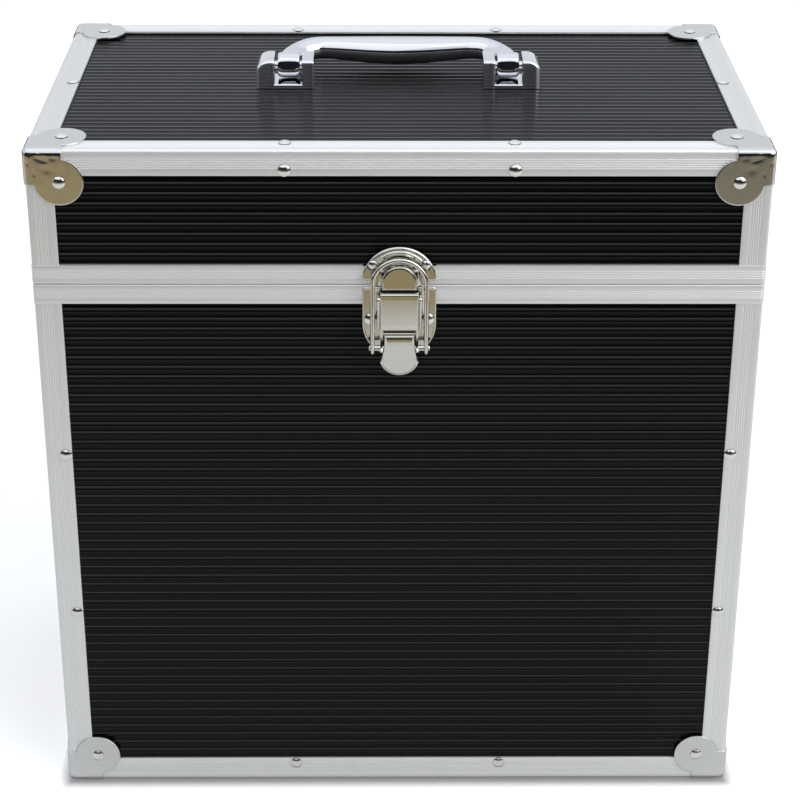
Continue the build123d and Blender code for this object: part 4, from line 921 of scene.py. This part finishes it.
def knuckle(low, high, bore):
    """Gives a knuckle as a turned ring from low to high along the pin, with rounded ends."""
    ends = [(bore, 0.0), (KNUCKLE - 0.4, 0.0), (KNUCKLE - 0.1, 0.12), (KNUCKLE, 0.4)]
    ring = [(r, low + h) for r, h in ends] + [(r, high - h) for r, h in reversed(ends)]
    rings = turned(ring, [(0, HINGE_Y, SEAM)], RIGHT, 32)[0][0]
    return np.concatenate([rings, rings[:1]]), True, False, 0


def pressed_block(outline, low, high):
    """Carries an outline of (back, up) from the hinge's pin between two places along it, with soft ends."""
    steps = [(0.25, low), (0.0, low + 0.25), (0.0, high - 0.25), (0.25, high)]
    rings = terraces(np.array(outline, float), steps)
    return closed(np.stack([rings[..., 2], HINGE_Y + rings[..., 0], SEAM + rings[..., 1]], -1))


# An opened lid's leaf comes down on the heel's upper face, which slopes 10 degrees from level.
SEAT = RIM_FACE - HINGE_Y
heel_face = [(2.4, -2.55), (6.5, -1.83)]
heel = [(SEAT, -6.0), (SEAT + LEAF, -6.0), (6.5, -3.3), *reversed(heel_face), (0.0, 0.0), (SEAT, 0.0)]
body_half, lid_half, pins = [], [], []
for middle in (-HINGE_X, HINGE_X):
    body_half.append(closed(leaf(middle, -1)))
    lid_half.append(closed(leaf(middle, 1)))
    for low, high in ((-HINGE_HALF, -KNUCKLE_END), (KNUCKLE_END, HINGE_HALF)):
        body_half.append(knuckle(middle + low, middle + high, 1.32))
        body_half.append(pressed_block(heel, middle + low, middle + high))
    lid_half.append(knuckle(middle - KNUCKLE_END + 0.3, middle + KNUCKLE_END - 0.3, 1.35))
    end = [(0.01, -HINGE_HALF), (0.9, 0.05 - HINGE_HALF), (1.3, 0.4 - HINGE_HALF)]
    pin = [(r, middle + h) for r, h in end] + [(r, middle - h) for r, h in reversed(end)]
    pins += turned(pin, [(0, HINGE_Y, SEAM)], RIGHT, 20)
fit(make("hinge_leaves_of_body", body_half, [zinc], 40), "body", "hinge_steel", "hinge_body_leaves")
fit(make("hinge_leaves_of_lid", lid_half, [zinc], 40), "lid", "hinge_steel", "hinge_lid_leaves")
fit(make("hinge_pin_wires", pins, [zinc], 50), "body", "hinge_steel", "hinge_pins")

# The handle's screws have pan heads with a cross recess, which is 0.9 mm wide, 4 mm across and 1 mm deep.
PAN, PAN_HIGH, SHANK, SHANK_END = 3.5, 2.2, 1.5, -BOARD - 4.9
crown = [(r, PAN_HIGH - 0.04 * r * r) for r in np.arange(0.2, 3.0, 0.2)]
pan = [(0.01, PAN_HIGH), *crown, (3.2, 1.55), (3.45, 1.1), (PAN, 0.6), (PAN, 0.03)]
pan += [(SHANK, 0.03), (SHANK, -BOARD), (SHANK, SHANK_END), (0.01, SHANK_END - 0.05)]
screws = turned(pan, [(*at, CEILING) for at in SCREWS], DOWN, 64)
for (rings, *_), at in zip(screws, SCREWS):
    x, y = abs(rings[..., 0] - at[0]), abs(rings[..., 1] - at[1])
    slot = np.clip((0.6 - np.minimum(x, y)) / 0.3, 0, 1) * np.clip((2.1 - np.maximum(x, y)) / 0.4, 0, 1)
    rings[..., 2] += 1.0 * slot * (rings[..., 2] < CEILING - 1.5)
fit(make("handle_pan_screws", screws, [zinc], 45), "lid", "hinge_steel", "handle_screws")


# The draw latch's base is a steel shield, pressed with a rounded edge and two ears that hold the lever's
# pin, and nickel plated like the rest of the latch.
FACE, PIVOT_OUT, PIVOT_Z, SHEET = DEPTH / 2, 8.6, SEAM - 4.4, 1.2
LATCH_HALF, BASE_ARC, BASE_TOP, BASE_CORNER = 17.8, SEAM - 20.6, SEAM - 0.8, 2
EARS_AT, PIN_HALF = 9.45, 10.95

latch_plate, tree = material("nickel_plated_latch_steel")
place = node(tree, "TexCoord").outputs["Object"]
# Small pressings are polished before plating, so only fine wiping scratches 0.3 mm apart are left.
wiped = node(tree, "Mapping", {"Vector": place, "Scale": (3200.0, 3200.0, 500.0)}).outputs[0]
wiping = node(tree, "TexNoise", {"Vector": wiped, "Scale": 1.0, "Detail": 2.0}).outputs[0]
polish = node(
    tree, "MapRange", {"Value": wiping, "From Min": 0.3, "From Max": 0.75, "To Min": 0.05, "To Max": 0.12}
).outputs[0]
plated = node(
    tree, "BsdfPrincipled", {"Base Color": linear("#cac8bf"), "Metallic": 1.0, "Roughness": polish}
).outputs[0]
node(tree, "OutputMaterial", {"Surface": plated})


def latch(rings):
    """Turns (across, up, level) into points in front of the case, where level is the distance from the
    frame's front."""
    return np.stack([rings[..., 0], -FACE - rings[..., 2], rings[..., 1]], -1)


def sideways(rings, side):
    """Turns (level, up, across) into the same kind of points, for a shape that is seen from the side."""
    return np.stack([side * rings[..., 2], -FACE - rings[..., 0], rings[..., 1]], -1)


# The shield is square at the top and a half circle below.
corner_x, corner_z = LATCH_HALF - BASE_CORNER, BASE_TOP - BASE_CORNER
shield = np.concatenate(
    [
        arc((corner_x, corner_z), BASE_CORNER, 0, 90, 7),
        between((corner_x, BASE_TOP), (-corner_x, BASE_TOP), 11),
        arc((-corner_x, corner_z), BASE_CORNER, 90, 180, 7),
        between((-LATCH_HALF, corner_z), (-LATCH_HALF, BASE_ARC), 6),
        arc((0, BASE_ARC), LATCH_HALF, 180, 360, 61),
        between((LATCH_HALF, BASE_ARC), (LATCH_HALF, corner_z), 6),
    ]
)
edge = [(0.0, 0.4), (0.0, 0.9), (0.05, 1.15), (0.18, 1.38), (0.38, 1.52)]
edge += [(0.6, 1.58), (0.8, 1.56), (1.0, 1.5), (1.4, 1.5)]
plate = terraces(shield, edge, [(0.8, 1.5), (0.4, 1.5), (0.01, 1.5)])
# Below the rim, the sheet's edge goes back to the board.
turned_back = [(0.25, -1.15), (0.25, 0.6)]
low_edge = terraces(shield, turned_back)
low_edge[..., 1] = np.minimum(low_edge[..., 1], SEAM - RIM - SLIP)
# Each ear is a flange that tapers downwards, with a fillet where it is bent out of the plate.
ear_side = np.concatenate(
    [
        np.array([(0.9, PIVOT_Z - 16.6), (7.4, PIVOT_Z - 15.0)]),
        between((7.4, PIVOT_Z - 15.0), (PIVOT_OUT + 1.8, PIVOT_Z), 6),
        arc((PIVOT_OUT, PIVOT_Z), 1.8, 0, 90, 9),
        np.array([(0.9, PIVOT_Z + 1.8)]),
    ]
)
bend = [(0.35, 0.0), (0.1, 0.08), (0.0, 0.3), (0.0, 0.9), (0.1, 1.12), (0.35, 1.2)]
fillet = [(13.0, 1.4), (12.3, 1.55), (11.6, 1.85), (11.1, 2.4), (10.8, 3.2), (10.6, 4.2)]
fillet = np.array([*fillet, (10.3, 4.2), (10.3, 1.4)])
fillet_z = np.array([PIVOT_Z - 15.6, PIVOT_Z - 15.2, PIVOT_Z + 1.2, PIVOT_Z + 1.6])[:, None]
base = [closed(latch(plate)), closed(latch(low_edge))]
for side in (-1, 1):
    flange = terraces(ear_side, [(inset, EARS_AT + level) for inset, level in bend])
    base.append(closed(sideways(flange, side)))
    run = np.stack(np.broadcast_arrays(side * fillet[:, 0], fillet_z, fillet[:, 1]), -1)
    base.append(closed(latch(run)))
fit(make("latch_shield", base, [latch_plate], 40), "body", "latch_steel", "latch_base")

# The pin through the ears has a small rounded head at each end.
head = [(0.01, 0.0), (0.6, 0.04), (0.88, 0.2), (1.0, 0.5), (1.0, 1.2)]
pin = [(r, h - PIN_HALF) for r, h in head] + [(r, PIN_HALF - h) for r, h in reversed(head)]
pin = turned(pin, [(0, -FACE - PIVOT_OUT, PIVOT_Z)], RIGHT, 20)
fit(make("latch_pin", pin, [latch_plate], 50), "body", "latch_steel", "latch_pivot_pin")


# The keeper on the lid is a half disc, pressed with two raised rings round the hook that the bail catches
# behind, and with a hollow round each of its two rivets.
KEEPER_ARC, RISE, TOE, HOOK_OUT = SEAM + 2.4, 17.5, 1.0, 7.4
turn = np.radians(np.linspace(0, 180, 81))
arch = np.stack([LATCH_HALF * np.cos(turn), KEEPER_ARC + RISE * np.sin(turn)], 1)[3:-3]
half_disc = np.concatenate(
    [
        arch,
        arc((TOE - LATCH_HALF, KEEPER_ARC + TOE), TOE, 180, 270, 5),
        between((TOE - LATCH_HALF, KEEPER_ARC), (LATCH_HALF - TOE, KEEPER_ARC), 31),
        arc((LATCH_HALF - TOE, KEEPER_ARC + TOE), TOE, 270, 360, 5),
    ]
)
rim_edge = [(0.0, 0.4), (0.0, 0.8), (0.08, 1.15), (0.3, 1.42), (0.6, 1.58)]
inwards = [(step, LATCH_FLAT) for step in np.arange(0.8, 3.5, 0.15)]
shrinking = [(share, LATCH_FLAT) for share in np.linspace(0.97, 0.05, 60)]
keeper = terraces(half_disc, rim_edge + inwards, shrinking)
away = np.hypot(keeper[..., 0] / LATCH_HALF, (keeper[..., 1] - KEEPER_ARC) / RISE) * LATCH_HALF
# Across the rings, from the outside: a ridge, a narrow groove, a ridge, a wide groove, a ridge and the flat.
ring_at = [0.0, 10.2, 11.0, 11.5, 12.2, 13.3, 14.0, 14.5, 15.0, 15.4, 15.9, 16.5, 17.2, 17.8]
ring_level = [1.2, 1.2, 1.6, 1.7, 1.3, 1.1, 1.5, 1.75, 1.7, 1.2, 1.25, 1.75, 1.7, 0.9]
pressed = np.interp(away, ring_at, ring_level) - LATCH_FLAT
beside = np.hypot(abs(keeper[..., 0]) - KEEPER_RIVET[0], keeper[..., 1] - KEEPER_RIVET[1])
pressed = pressed * np.clip((beside - 2.6) / 0.9, 0, 1) - 0.45 * np.clip((2.9 - beside) / 0.7, 0, 1)
arch_only = np.clip((keeper[..., 1] - KEEPER_ARC - 5.5) / 3.0, 0, 1)
keeper[len(rim_edge) :, :, 2] += (pressed * arch_only)[len(rim_edge) :]

HOOK_ARC, HOOK_LOW, LIP = SEAM + 3.8, SEAM - 0.6, 8.4
hook_face = np.concatenate(
    [
        arc((0, HOOK_ARC), LIP, 0, 180, 49),
        between((-LIP, HOOK_ARC), (-LIP, HOOK_LOW + 0.5), 4),
        arc((0.5 - LIP, HOOK_LOW + 0.5), 0.5, 180, 270, 4),
        between((0.5 - LIP, HOOK_LOW), (LIP - 0.5, HOOK_LOW), 15),
        arc((LIP - 0.5, HOOK_LOW + 0.5), 0.5, 270, 360, 4),
        between((LIP, HOOK_LOW + 0.5), (LIP, HOOK_ARC), 4),
    ]
)
neck = [(1.2, 0.6), (1.2, 5.4), (1.0, 5.85), (0.5, 6.05), (0.12, 6.15)]
lip = [(0.0, 6.35), (0.03, 6.6), (0.14, 6.85), (0.34, 7.08), (0.62, 7.25), (0.95, 7.35)]
lip += [(1.3, HOOK_OUT), (1.45, HOOK_OUT)]
hook = terraces(hook_face, neck + lip, [(0.8, HOOK_OUT), (0.4, HOOK_OUT), (0.01, HOOK_OUT)])
# The neck stays above the seam, and only the lip reaches down over it.
hook[: len(neck) - 1, :, 1] = np.maximum(hook[: len(neck) - 1, :, 1], SEAM + 0.25)
top_edge = terraces(half_disc, turned_back)
top_edge[..., 1] = np.maximum(top_edge[..., 1], SEAM + LID_RIM + SLIP)
catch = [closed(latch(part)) for part in (keeper, hook, top_edge)]
# Beside the hook the sheet rises to its neck in a hollow curve, from the keeper's plate down to the seam.
flank = [(10.9, 0.6), (10.9, 1.62), (10.0, 1.75), (9.2, 2.3), (8.5, 3.3), (8.0, 4.6), (7.7, 5.9)]
flank = np.array([*flank, (7.0, 5.9), (7.0, 0.6)])
flank_z = np.array([SEAM + 0.3, SEAM + 0.6, SEAM + 7.0, SEAM + 9.0])[:, None]
lean = np.array([0.0, 0.0, 0.0, 1.2])[:, None]
for side in (-1, 1):
    run = np.stack(np.broadcast_arrays(side * (flank[:, 0] - lean), flank_z, flank[:, 1]), -1)
    catch.append(closed(latch(run)))
fit(make("latch_keeper", catch, [latch_plate], 40), "lid", "latch_steel", "keeper")


# The lever is one sheet, bent into a square front with a cheek down each side. Its top edge rolls in over
# the pin, and below a pressed groove it runs out into a dished tail for the finger.
LEVER_HALF, LEVER_OUT, LEVER_TOP, STEP = 9.15, 10.4, SEAM - 0.8, SEAM - 19.9
ROD_OUT, ROD_Z, TAIL_OUT, TAIL_TOP, TAIL_END = 7.4, SEAM - 30.3, 10.2, SEAM - 22.6, SEAM - 44.5
ROLL, FOLD = 1.1, 0.6
roll = np.radians(np.linspace(90, 0, 7))
foot_roll = np.radians(np.linspace(0, 90, 5))
plain = np.linspace(LEVER_TOP - ROLL, STEP + FOLD, 9)[1:-1]
up = [LEVER_TOP - ROLL * (1 - np.sin(roll)), plain, STEP + FOLD * (1 - np.sin(foot_roll))]
up = np.concatenate(up)
# The front leans back and bows with the square of the distance below its top.
fall = LEVER_TOP - up
bow = 0.0165 * fall + 0.0003 * fall**2
front = [ROLL * (1 - np.cos(roll)), np.zeros(len(plain)), FOLD * (1 - np.cos(foot_roll))]
front = LEVER_OUT - bow - np.concatenate(front)
back_edge = np.interp(up, [STEP, PIVOT_Z, LEVER_TOP], [5.6, 6.8, 8.3])
round_side = np.radians(np.linspace(0, 90, 6))
across = np.concatenate([[0.0], FOLD * (1 - np.cos(round_side)), [3.0, LEVER_HALF]])
sunk = np.concatenate([[FOLD], FOLD * (1 - np.sin(round_side)), [0.0, 0.0]])
outer = front[:, None] - sunk
outer[:, 0] = back_edge
inner_x = np.concatenate([np.full(7, SHEET), [3.0, LEVER_HALF]])
inner = np.broadcast_to((front - SHEET)[:, None], outer.shape).copy()
inner[:, 0] = back_edge
inner[:, 1:4] = np.maximum(inner[:, 1:4] - 0.4, back_edge[:, None] + 0.05)
half_x = np.concatenate([LEVER_HALF - across, -(LEVER_HALF - across)[-2::-1]])
back_x = np.concatenate([inner_x - LEVER_HALF, (LEVER_HALF - inner_x)[-2::-1]])
across = np.concatenate([half_x, back_x])
level = np.concatenate([outer, outer[:, -2::-1], inner, inner[:, -2::-1]], 1)
front_plate = latch(np.stack(np.broadcast_arrays(across, up[:, None], level), -1))

# The groove is a strip as wide as the tail's neck, between the front plate and the tail.
NECK, FLARE, CORNER_Z = 7.65, 9.45, SEAM - 37.1
strip = [(9.4, STEP + 0.3), (8.5, STEP - 0.15), (8.2, STEP - 0.5), (8.2, TAIL_TOP + 0.6)]
strip += [(8.5, TAIL_TOP + 0.2), (9.6, TAIL_TOP - 0.2), (9.2, TAIL_TOP - 0.6)]
strip = np.array([*strip, (7.2, TAIL_TOP), (7.2, STEP), (9.0, STEP + 0.5)])
ends_x = np.array([[-NECK], [NECK]])
groove = latch(np.stack(np.broadcast_arrays(ends_x, strip[:, 1], strip[:, 0]), -1))

# The tail's sides flare as a power of the way down to sharp corners, and its end is an arc between them.
down = np.linspace(0, 1, 21)
waist = NECK - 0.4
side_x = waist + (FLARE - waist) * down**2.8
side_z = TAIL_TOP + (CORNER_Z - TAIL_TOP) * down
end_middle = (FLARE**2 - (CORNER_Z - TAIL_END) ** 2) / (2 * (CORNER_Z - TAIL_END))
end_radius = CORNER_Z - TAIL_END + end_middle
sweep_half = np.degrees(np.arcsin(FLARE / end_radius))
tip = arc((0, CORNER_Z + end_middle), end_radius, 270 - sweep_half, 270 + sweep_half, 49)
tail_outline = np.concatenate(
    [
        np.stack([-side_x, side_z], 1)[:-1],
        tip,
        np.stack([side_x, side_z], 1)[::-1][1:],
        between((waist, TAIL_TOP), (-waist, TAIL_TOP), 15),
    ]
)
rim_up = [(0.2, -1.1), (0.0, -0.95), (0.0, -0.7), (0.1, -0.42), (0.28, -0.18), (0.5, -0.04), (0.7, 0.0)]
rim_down = [(0.85, -0.06), (1.0, -0.25), (1.12, -0.42), (1.3, -0.5)]
dish = 1 - np.linspace(0.12, 0.99, 24) ** 1.5
tail = terraces(tail_outline, rim_up + rim_down, [(share, -0.5) for share in dish])
# Inside the rim the hollow is deepest under the top edge and runs out towards the tip, while the whole tail
# bends back more and more.
fall = TAIL_TOP - tail[..., 1]
shallow = np.interp(fall, [1.3, 1.95, 3.2, 8.0, 15.0, 21.9], [1.0, 0.55, 0.40, 0.34, 0.26, 0.16])
shallow[: len(rim_up)] = 1.0
bent_back = 1.2 * np.clip(fall / (TAIL_TOP - TAIL_END), 0, 1) ** 2
tail[..., 2] = TAIL_OUT + tail[..., 2] * shallow - bent_back
cheek_side = np.concatenate(
    [
        arc((ROD_OUT, ROD_Z), 2.7, 190, 350, 15),
        np.array([(8.9, ROD_Z + 1.0), (8.9, STEP - 1.0), (9.6, STEP + 0.8), (5.6, STEP + 0.8)]),
        between((5.6, STEP + 0.8), (4.75, ROD_Z + 0.5), 3),
    ]
)
lever = [closed(front_plate), closed(groove), closed(latch(tail))]
cheek = terraces(cheek_side, [(inset, LEVER_HALF - SHEET + level) for inset, level in bend])
lever += [closed(sideways(cheek, side)) for side in (-1, 1)]
fit(make("latch_finger_lever", lever, [latch_plate], 40), "lever", "latch_steel", "latch_lever")

# The rod across the lever carries the bail: it is turned steel with rounded ends.
ROD_HALF = 14.9
head = [(0.01, 0.0), (0.9, 0.05), (1.3, 0.3), (1.5, 0.8), (1.5, 2.0)]
rod = [(r, h - ROD_HALF) for r, h in head] + [(r, ROD_HALF - h) for r, h in reversed(head)]
rod = turned(rod, [(0, -FACE - ROD_OUT, ROD_Z)], RIGHT, 24)
fit(make("latch_rod", rod, [latch_plate], 50), "lever", "latch_steel", "bail_rod")


# The bail is a loop of 2.4 mm wire. Each end is drawn a little thinner and wraps round the rod.
WIRE, BAIL_HALF, BAIL_ARC, BAIL_OUT, WRAP = 1.2, 12.9, SEAM + 3.5, 9.2, 2.6
turn = np.radians(np.linspace(75, 360, 34))
round_y, round_z = ROD_OUT + WRAP * np.cos(turn), ROD_Z + WRAP * np.sin(turn)
wrap = np.stack([np.full_like(turn, -BAIL_HALF), round_y, round_z], 1)
climb = np.linspace(0, 1, 28)[1:]
lean = ROD_OUT + WRAP + (BAIL_OUT - ROD_OUT - WRAP) * climb**1.5
leg = np.stack([np.full_like(climb, -BAIL_HALF), lean, ROD_Z + (BAIL_ARC - ROD_Z) * climb], 1)
turn = np.radians(np.linspace(180, 90, 25))[1:]
bow_x, bow_z = BAIL_HALF * np.cos(turn), BAIL_ARC + BAIL_HALF * np.sin(turn)
bow = np.stack([bow_x, np.full_like(turn, BAIL_OUT), bow_z], 1)
path = np.concatenate([wrap, leg, bow])
ahead = np.gradient(path, axis=0)
ahead /= np.linalg.norm(ahead, axis=1, keepdims=True)
on_bow = np.arange(len(path))[:, None] >= len(wrap) + len(leg)
# Across the path, one axis is sideways and the other is outwards, and on the bow they turn with it.
one = np.where(on_bow, np.stack([ahead[:, 2], 0 * ahead[:, 1], -ahead[:, 0]], 1), [1.0, 0.0, 0.0])
other = np.where(on_bow, [0.0, 1.0, 0.0], np.stack([0 * ahead[:, 0], ahead[:, 2], -ahead[:, 1]], 1))
turn = np.linspace(0, 2 * np.pi, 20, endpoint=False)
drawn_out = len(wrap)
thick = np.interp(np.arange(len(path)), [0, drawn_out, drawn_out + 18], [0.9, 0.98, WIRE])
ring = np.cos(turn)[:, None] * one[:, None] + np.sin(turn)[:, None] * other[:, None]
left_half = path[:, None] + thick[:, None, None] * ring
right_half = (left_half * [-1, 1, 1])[-2::-1]
loop = np.concatenate([left_half, right_half])
wire = np.stack([loop[..., 0], -FACE - loop[..., 1], loop[..., 2]], -1)
fit(make("latch_wire_bail", [closed(wire)], [latch_plate], 50), "bail", "latch_steel", "latch_bail")


# The handle is die-cast zinc with bright chrome. Each bracket is one casting: an inner post, an outer post
# whose top falls away to the side, and a thin floor between them under the grip's knuckle.
BRACKET_HIGH, BRACKET_HALF, BRACKET_MIDDLE, SLOT_FLOOR = 14.7, 9.0, HANDLE_Y - 2.8, 2.2
INNER_POST, OUTER_POST, POST_ROUND, OUTER_ROUND = (42.7, 48.7), (62.5, 72.0), 1.8, 7.0
GRIP_X, GRIP_Z, GRIP_BACK, GRIP_BEND, GRIP_HALF = 55.5, 9.0, 24.0, 18.5, 5.7

chrome, tree = material("chromed_zinc_casting")
place = node(tree, "TexCoord").outputs["Object"]
# Castings are buffed by hand, which leaves soft waves about 10 mm long under the chrome.
buffed = node(tree, "TexNoise", {"Vector": place, "Scale": 95.0, "Detail": 1.0}).outputs[0]
relief = node(tree, "Bump", {"Height": buffed, "Strength": 0.12, "Distance": 0.0002}).outputs[0]
smear = node(tree, "TexNoise", {"Vector": place, "Scale": 260.0, "Detail": 4.0}).outputs[0]
fingered = node(
    tree, "MapRange", {"Value": smear, "From Min": 0.4, "From Max": 0.8, "To Min": 0.03, "To Max": 0.08}
).outputs[0]
mirror = node(
    tree,
    "BsdfPrincipled",
    {"Base Color": linear("#d9dadd"), "Metallic": 1.0, "Roughness": fingered, "Normal": relief},
).outputs[0]
node(tree, "OutputMaterial", {"Surface": mirror})


def post_outline(half, high, corner):
    """Gives a post seen from its side, as (back, up): upright, with two rounded top corners."""
    return np.concatenate(
        [
            np.stack([np.linspace(-half, half, 9), np.zeros(9)], 1),
            arc((half - corner, high - corner), corner, 0, 90, 9),
            arc((corner - half, high - corner), corner, 90, 180, 9),
        ]
    )


def on_lid(rings, side):
    """Turns (back, up, across) into points on the lid's board, on one side of the case."""
    return np.stack([side * rings[..., 2], BRACKET_MIDDLE + rings[..., 0], LID_FACE + rings[..., 1]], -1)


soft = [(0.45, 0.0), (0.13, 0.13), (0.0, 0.45)]
steps = [(inset, INNER_POST[0] + x) for inset, x in soft]
steps += [(inset, INNER_POST[1] - x) for inset, x in reversed(soft)]
inner = terraces(post_outline(BRACKET_HALF, BRACKET_HIGH, POST_ROUND), steps)
# The outer post keeps its outline and loses height as a quarter circle towards its end, and breadth as a
# smaller one.
end_round = 3.0
fall = np.radians(np.linspace(0, 90, 17))
falling = OUTER_POST[1] - OUTER_ROUND + OUTER_ROUND * np.sin(fall)
x = np.concatenate([[OUTER_POST[0] + start for _, start in soft], falling])
lower = np.concatenate([[inset for inset, _ in soft], OUTER_ROUND * (1 - np.cos(fall))])
share = np.clip((falling - OUTER_POST[1] + end_round) / end_round, 0, 1)
narrow = np.concatenate([lower[:3], end_round * (1 - np.sqrt(1 - share**2))])
sizes = zip(BRACKET_HALF - narrow, BRACKET_HIGH - lower)
outer = np.stack([post_outline(half, high, POST_ROUND) for half, high in sizes])
outer = np.concatenate([outer, np.broadcast_to(x[:, None, None], (*outer.shape[:2], 1))], -1)
# The floor between the posts reaches 0.2 mm into each.
bevel = 0.4
web = [(-BRACKET_HALF, 0.0), (BRACKET_HALF, 0.0), (BRACKET_HALF, SLOT_FLOOR - bevel)]
web += [(BRACKET_HALF - bevel, SLOT_FLOOR), (bevel - BRACKET_HALF, SLOT_FLOOR)]
web = np.array([*web, (-BRACKET_HALF, SLOT_FLOOR - bevel)])
reach = np.array([[INNER_POST[1] - 0.2], [OUTER_POST[0] + 0.2]])
web = np.stack(np.broadcast_arrays(web[:, 0], web[:, 1], reach), -1)
for side, name in ((-1, "left"), (1, "right")):
    casting = [closed(on_lid(rings, side)) for rings in (inner, outer, web)]
    bracket = make(f"chromed_bracket_{name}", casting, [chrome], 40)
    fit(bracket, "lid", "handle_chrome", f"handle_bracket_{name}")

# A pin through each bracket's posts carries the grip.
pivot = [(0.01, 44.5), (1.3, 44.6), (2.0, 45.0), (2.0, 69.5), (1.3, 69.9), (0.01, 70.0)]
pivot_at = (0, HANDLE_Y, LID_FACE + GRIP_Z)
pins = [turned([(r, side * h) for r, h in pivot], [pivot_at], RIGHT, 20)[0] for side in (-1, 1)]
fit(make("handle_pins", pins, [chrome], 50), "lid", "handle_chrome", "handle_pivot_pins")

# The grip is one casting that swells towards its middle on the finger side. Each end is a barrel knuckle
# with a flat on its front.
bar_half, bend_y = GRIP_X - GRIP_BEND, GRIP_BACK - GRIP_BEND
first = np.stack([np.full(5, -GRIP_X), np.linspace(0, bend_y, 6)[:-1]], 1)
corner_arc = arc((-bar_half, bend_y), GRIP_BEND, 180, 90, 17)
bar = np.stack([np.linspace(-bar_half, bar_half, 41), np.full(41, GRIP_BACK)], 1)[1:-1]
spine = np.concatenate([first, corner_arc, bar, (corner_arc * [-1, 1])[::-1], (first * [-1, 1])[::-1]])
swell = np.cos(np.clip(spine[:, 0] / bar_half, -1, 1) * np.pi / 2) ** 1.3
swell = np.where(spine[:, 1] > GRIP_BACK - 0.01, swell, 0.0)
run = np.gradient(spine, axis=0)
run /= np.linalg.norm(run, axis=1, keepdims=True)
beside = np.stack([-run[:, 1], run[:, 0]], 1)
turn = np.linspace(0, 2 * np.pi, 32, endpoint=False)
half_wide, half_high = GRIP_HALF + 1.8 * swell, GRIP_HALF + 1.5 * swell
# Behind the knuckles the bar rises 1.3 mm, clear of the brackets, and comes back down in its middle.
lift = 1.3 * np.clip((spine[:, 1] - 15) / 8, 0, 1) * (1 - 0.9 * swell)
centre = np.stack([spine[:, 0], HANDLE_Y + spine[:, 1] - 0.9 * swell, LID_FACE + GRIP_Z + lift], 1)
wide = (half_wide[:, None] * np.cos(turn))[..., None] * beside[:, None]
high = centre[:, 2:] + half_high[:, None] * np.sin(turn)
grip = np.concatenate([centre[:, None, :2] + wide, high[..., None]], -1)
barrel = [(2.06, -5.6), (5.2, -5.6), (5.75, -5.45), (6.15, -5.0), (6.4, -3.4), (6.45, 0.0)]
barrel = barrel + [(r, -h) for r, h in barrel[-2::-1]]
knuckles = []
FLAT_AT, FLAT_TILT = 5.6, np.radians(8)
flat_way = np.array([0.0, -np.cos(FLAT_TILT), np.sin(FLAT_TILT)])
for rings, *_ in turned(barrel, [(side * GRIP_X, *pivot_at[1:]) for side in (-1, 1)], RIGHT, 40):
    past = (rings - [0, *pivot_at[1:]]) @ flat_way - FLAT_AT
    rings = rings - np.clip(past, 0, None)[..., None] * flat_way
    knuckles.append((np.concatenate([rings, rings[:1]]), True, False, 0))
grip = make("chromed_grip", [closed(grip), *knuckles], [chrome], 40)
fit(grip, "handle", "handle_chrome", "handle_grip")

low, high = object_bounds()
sizes = {
    "cad": [list(cad_low), list(cad_high)],
    "visual": [list(low), list(high)],
}
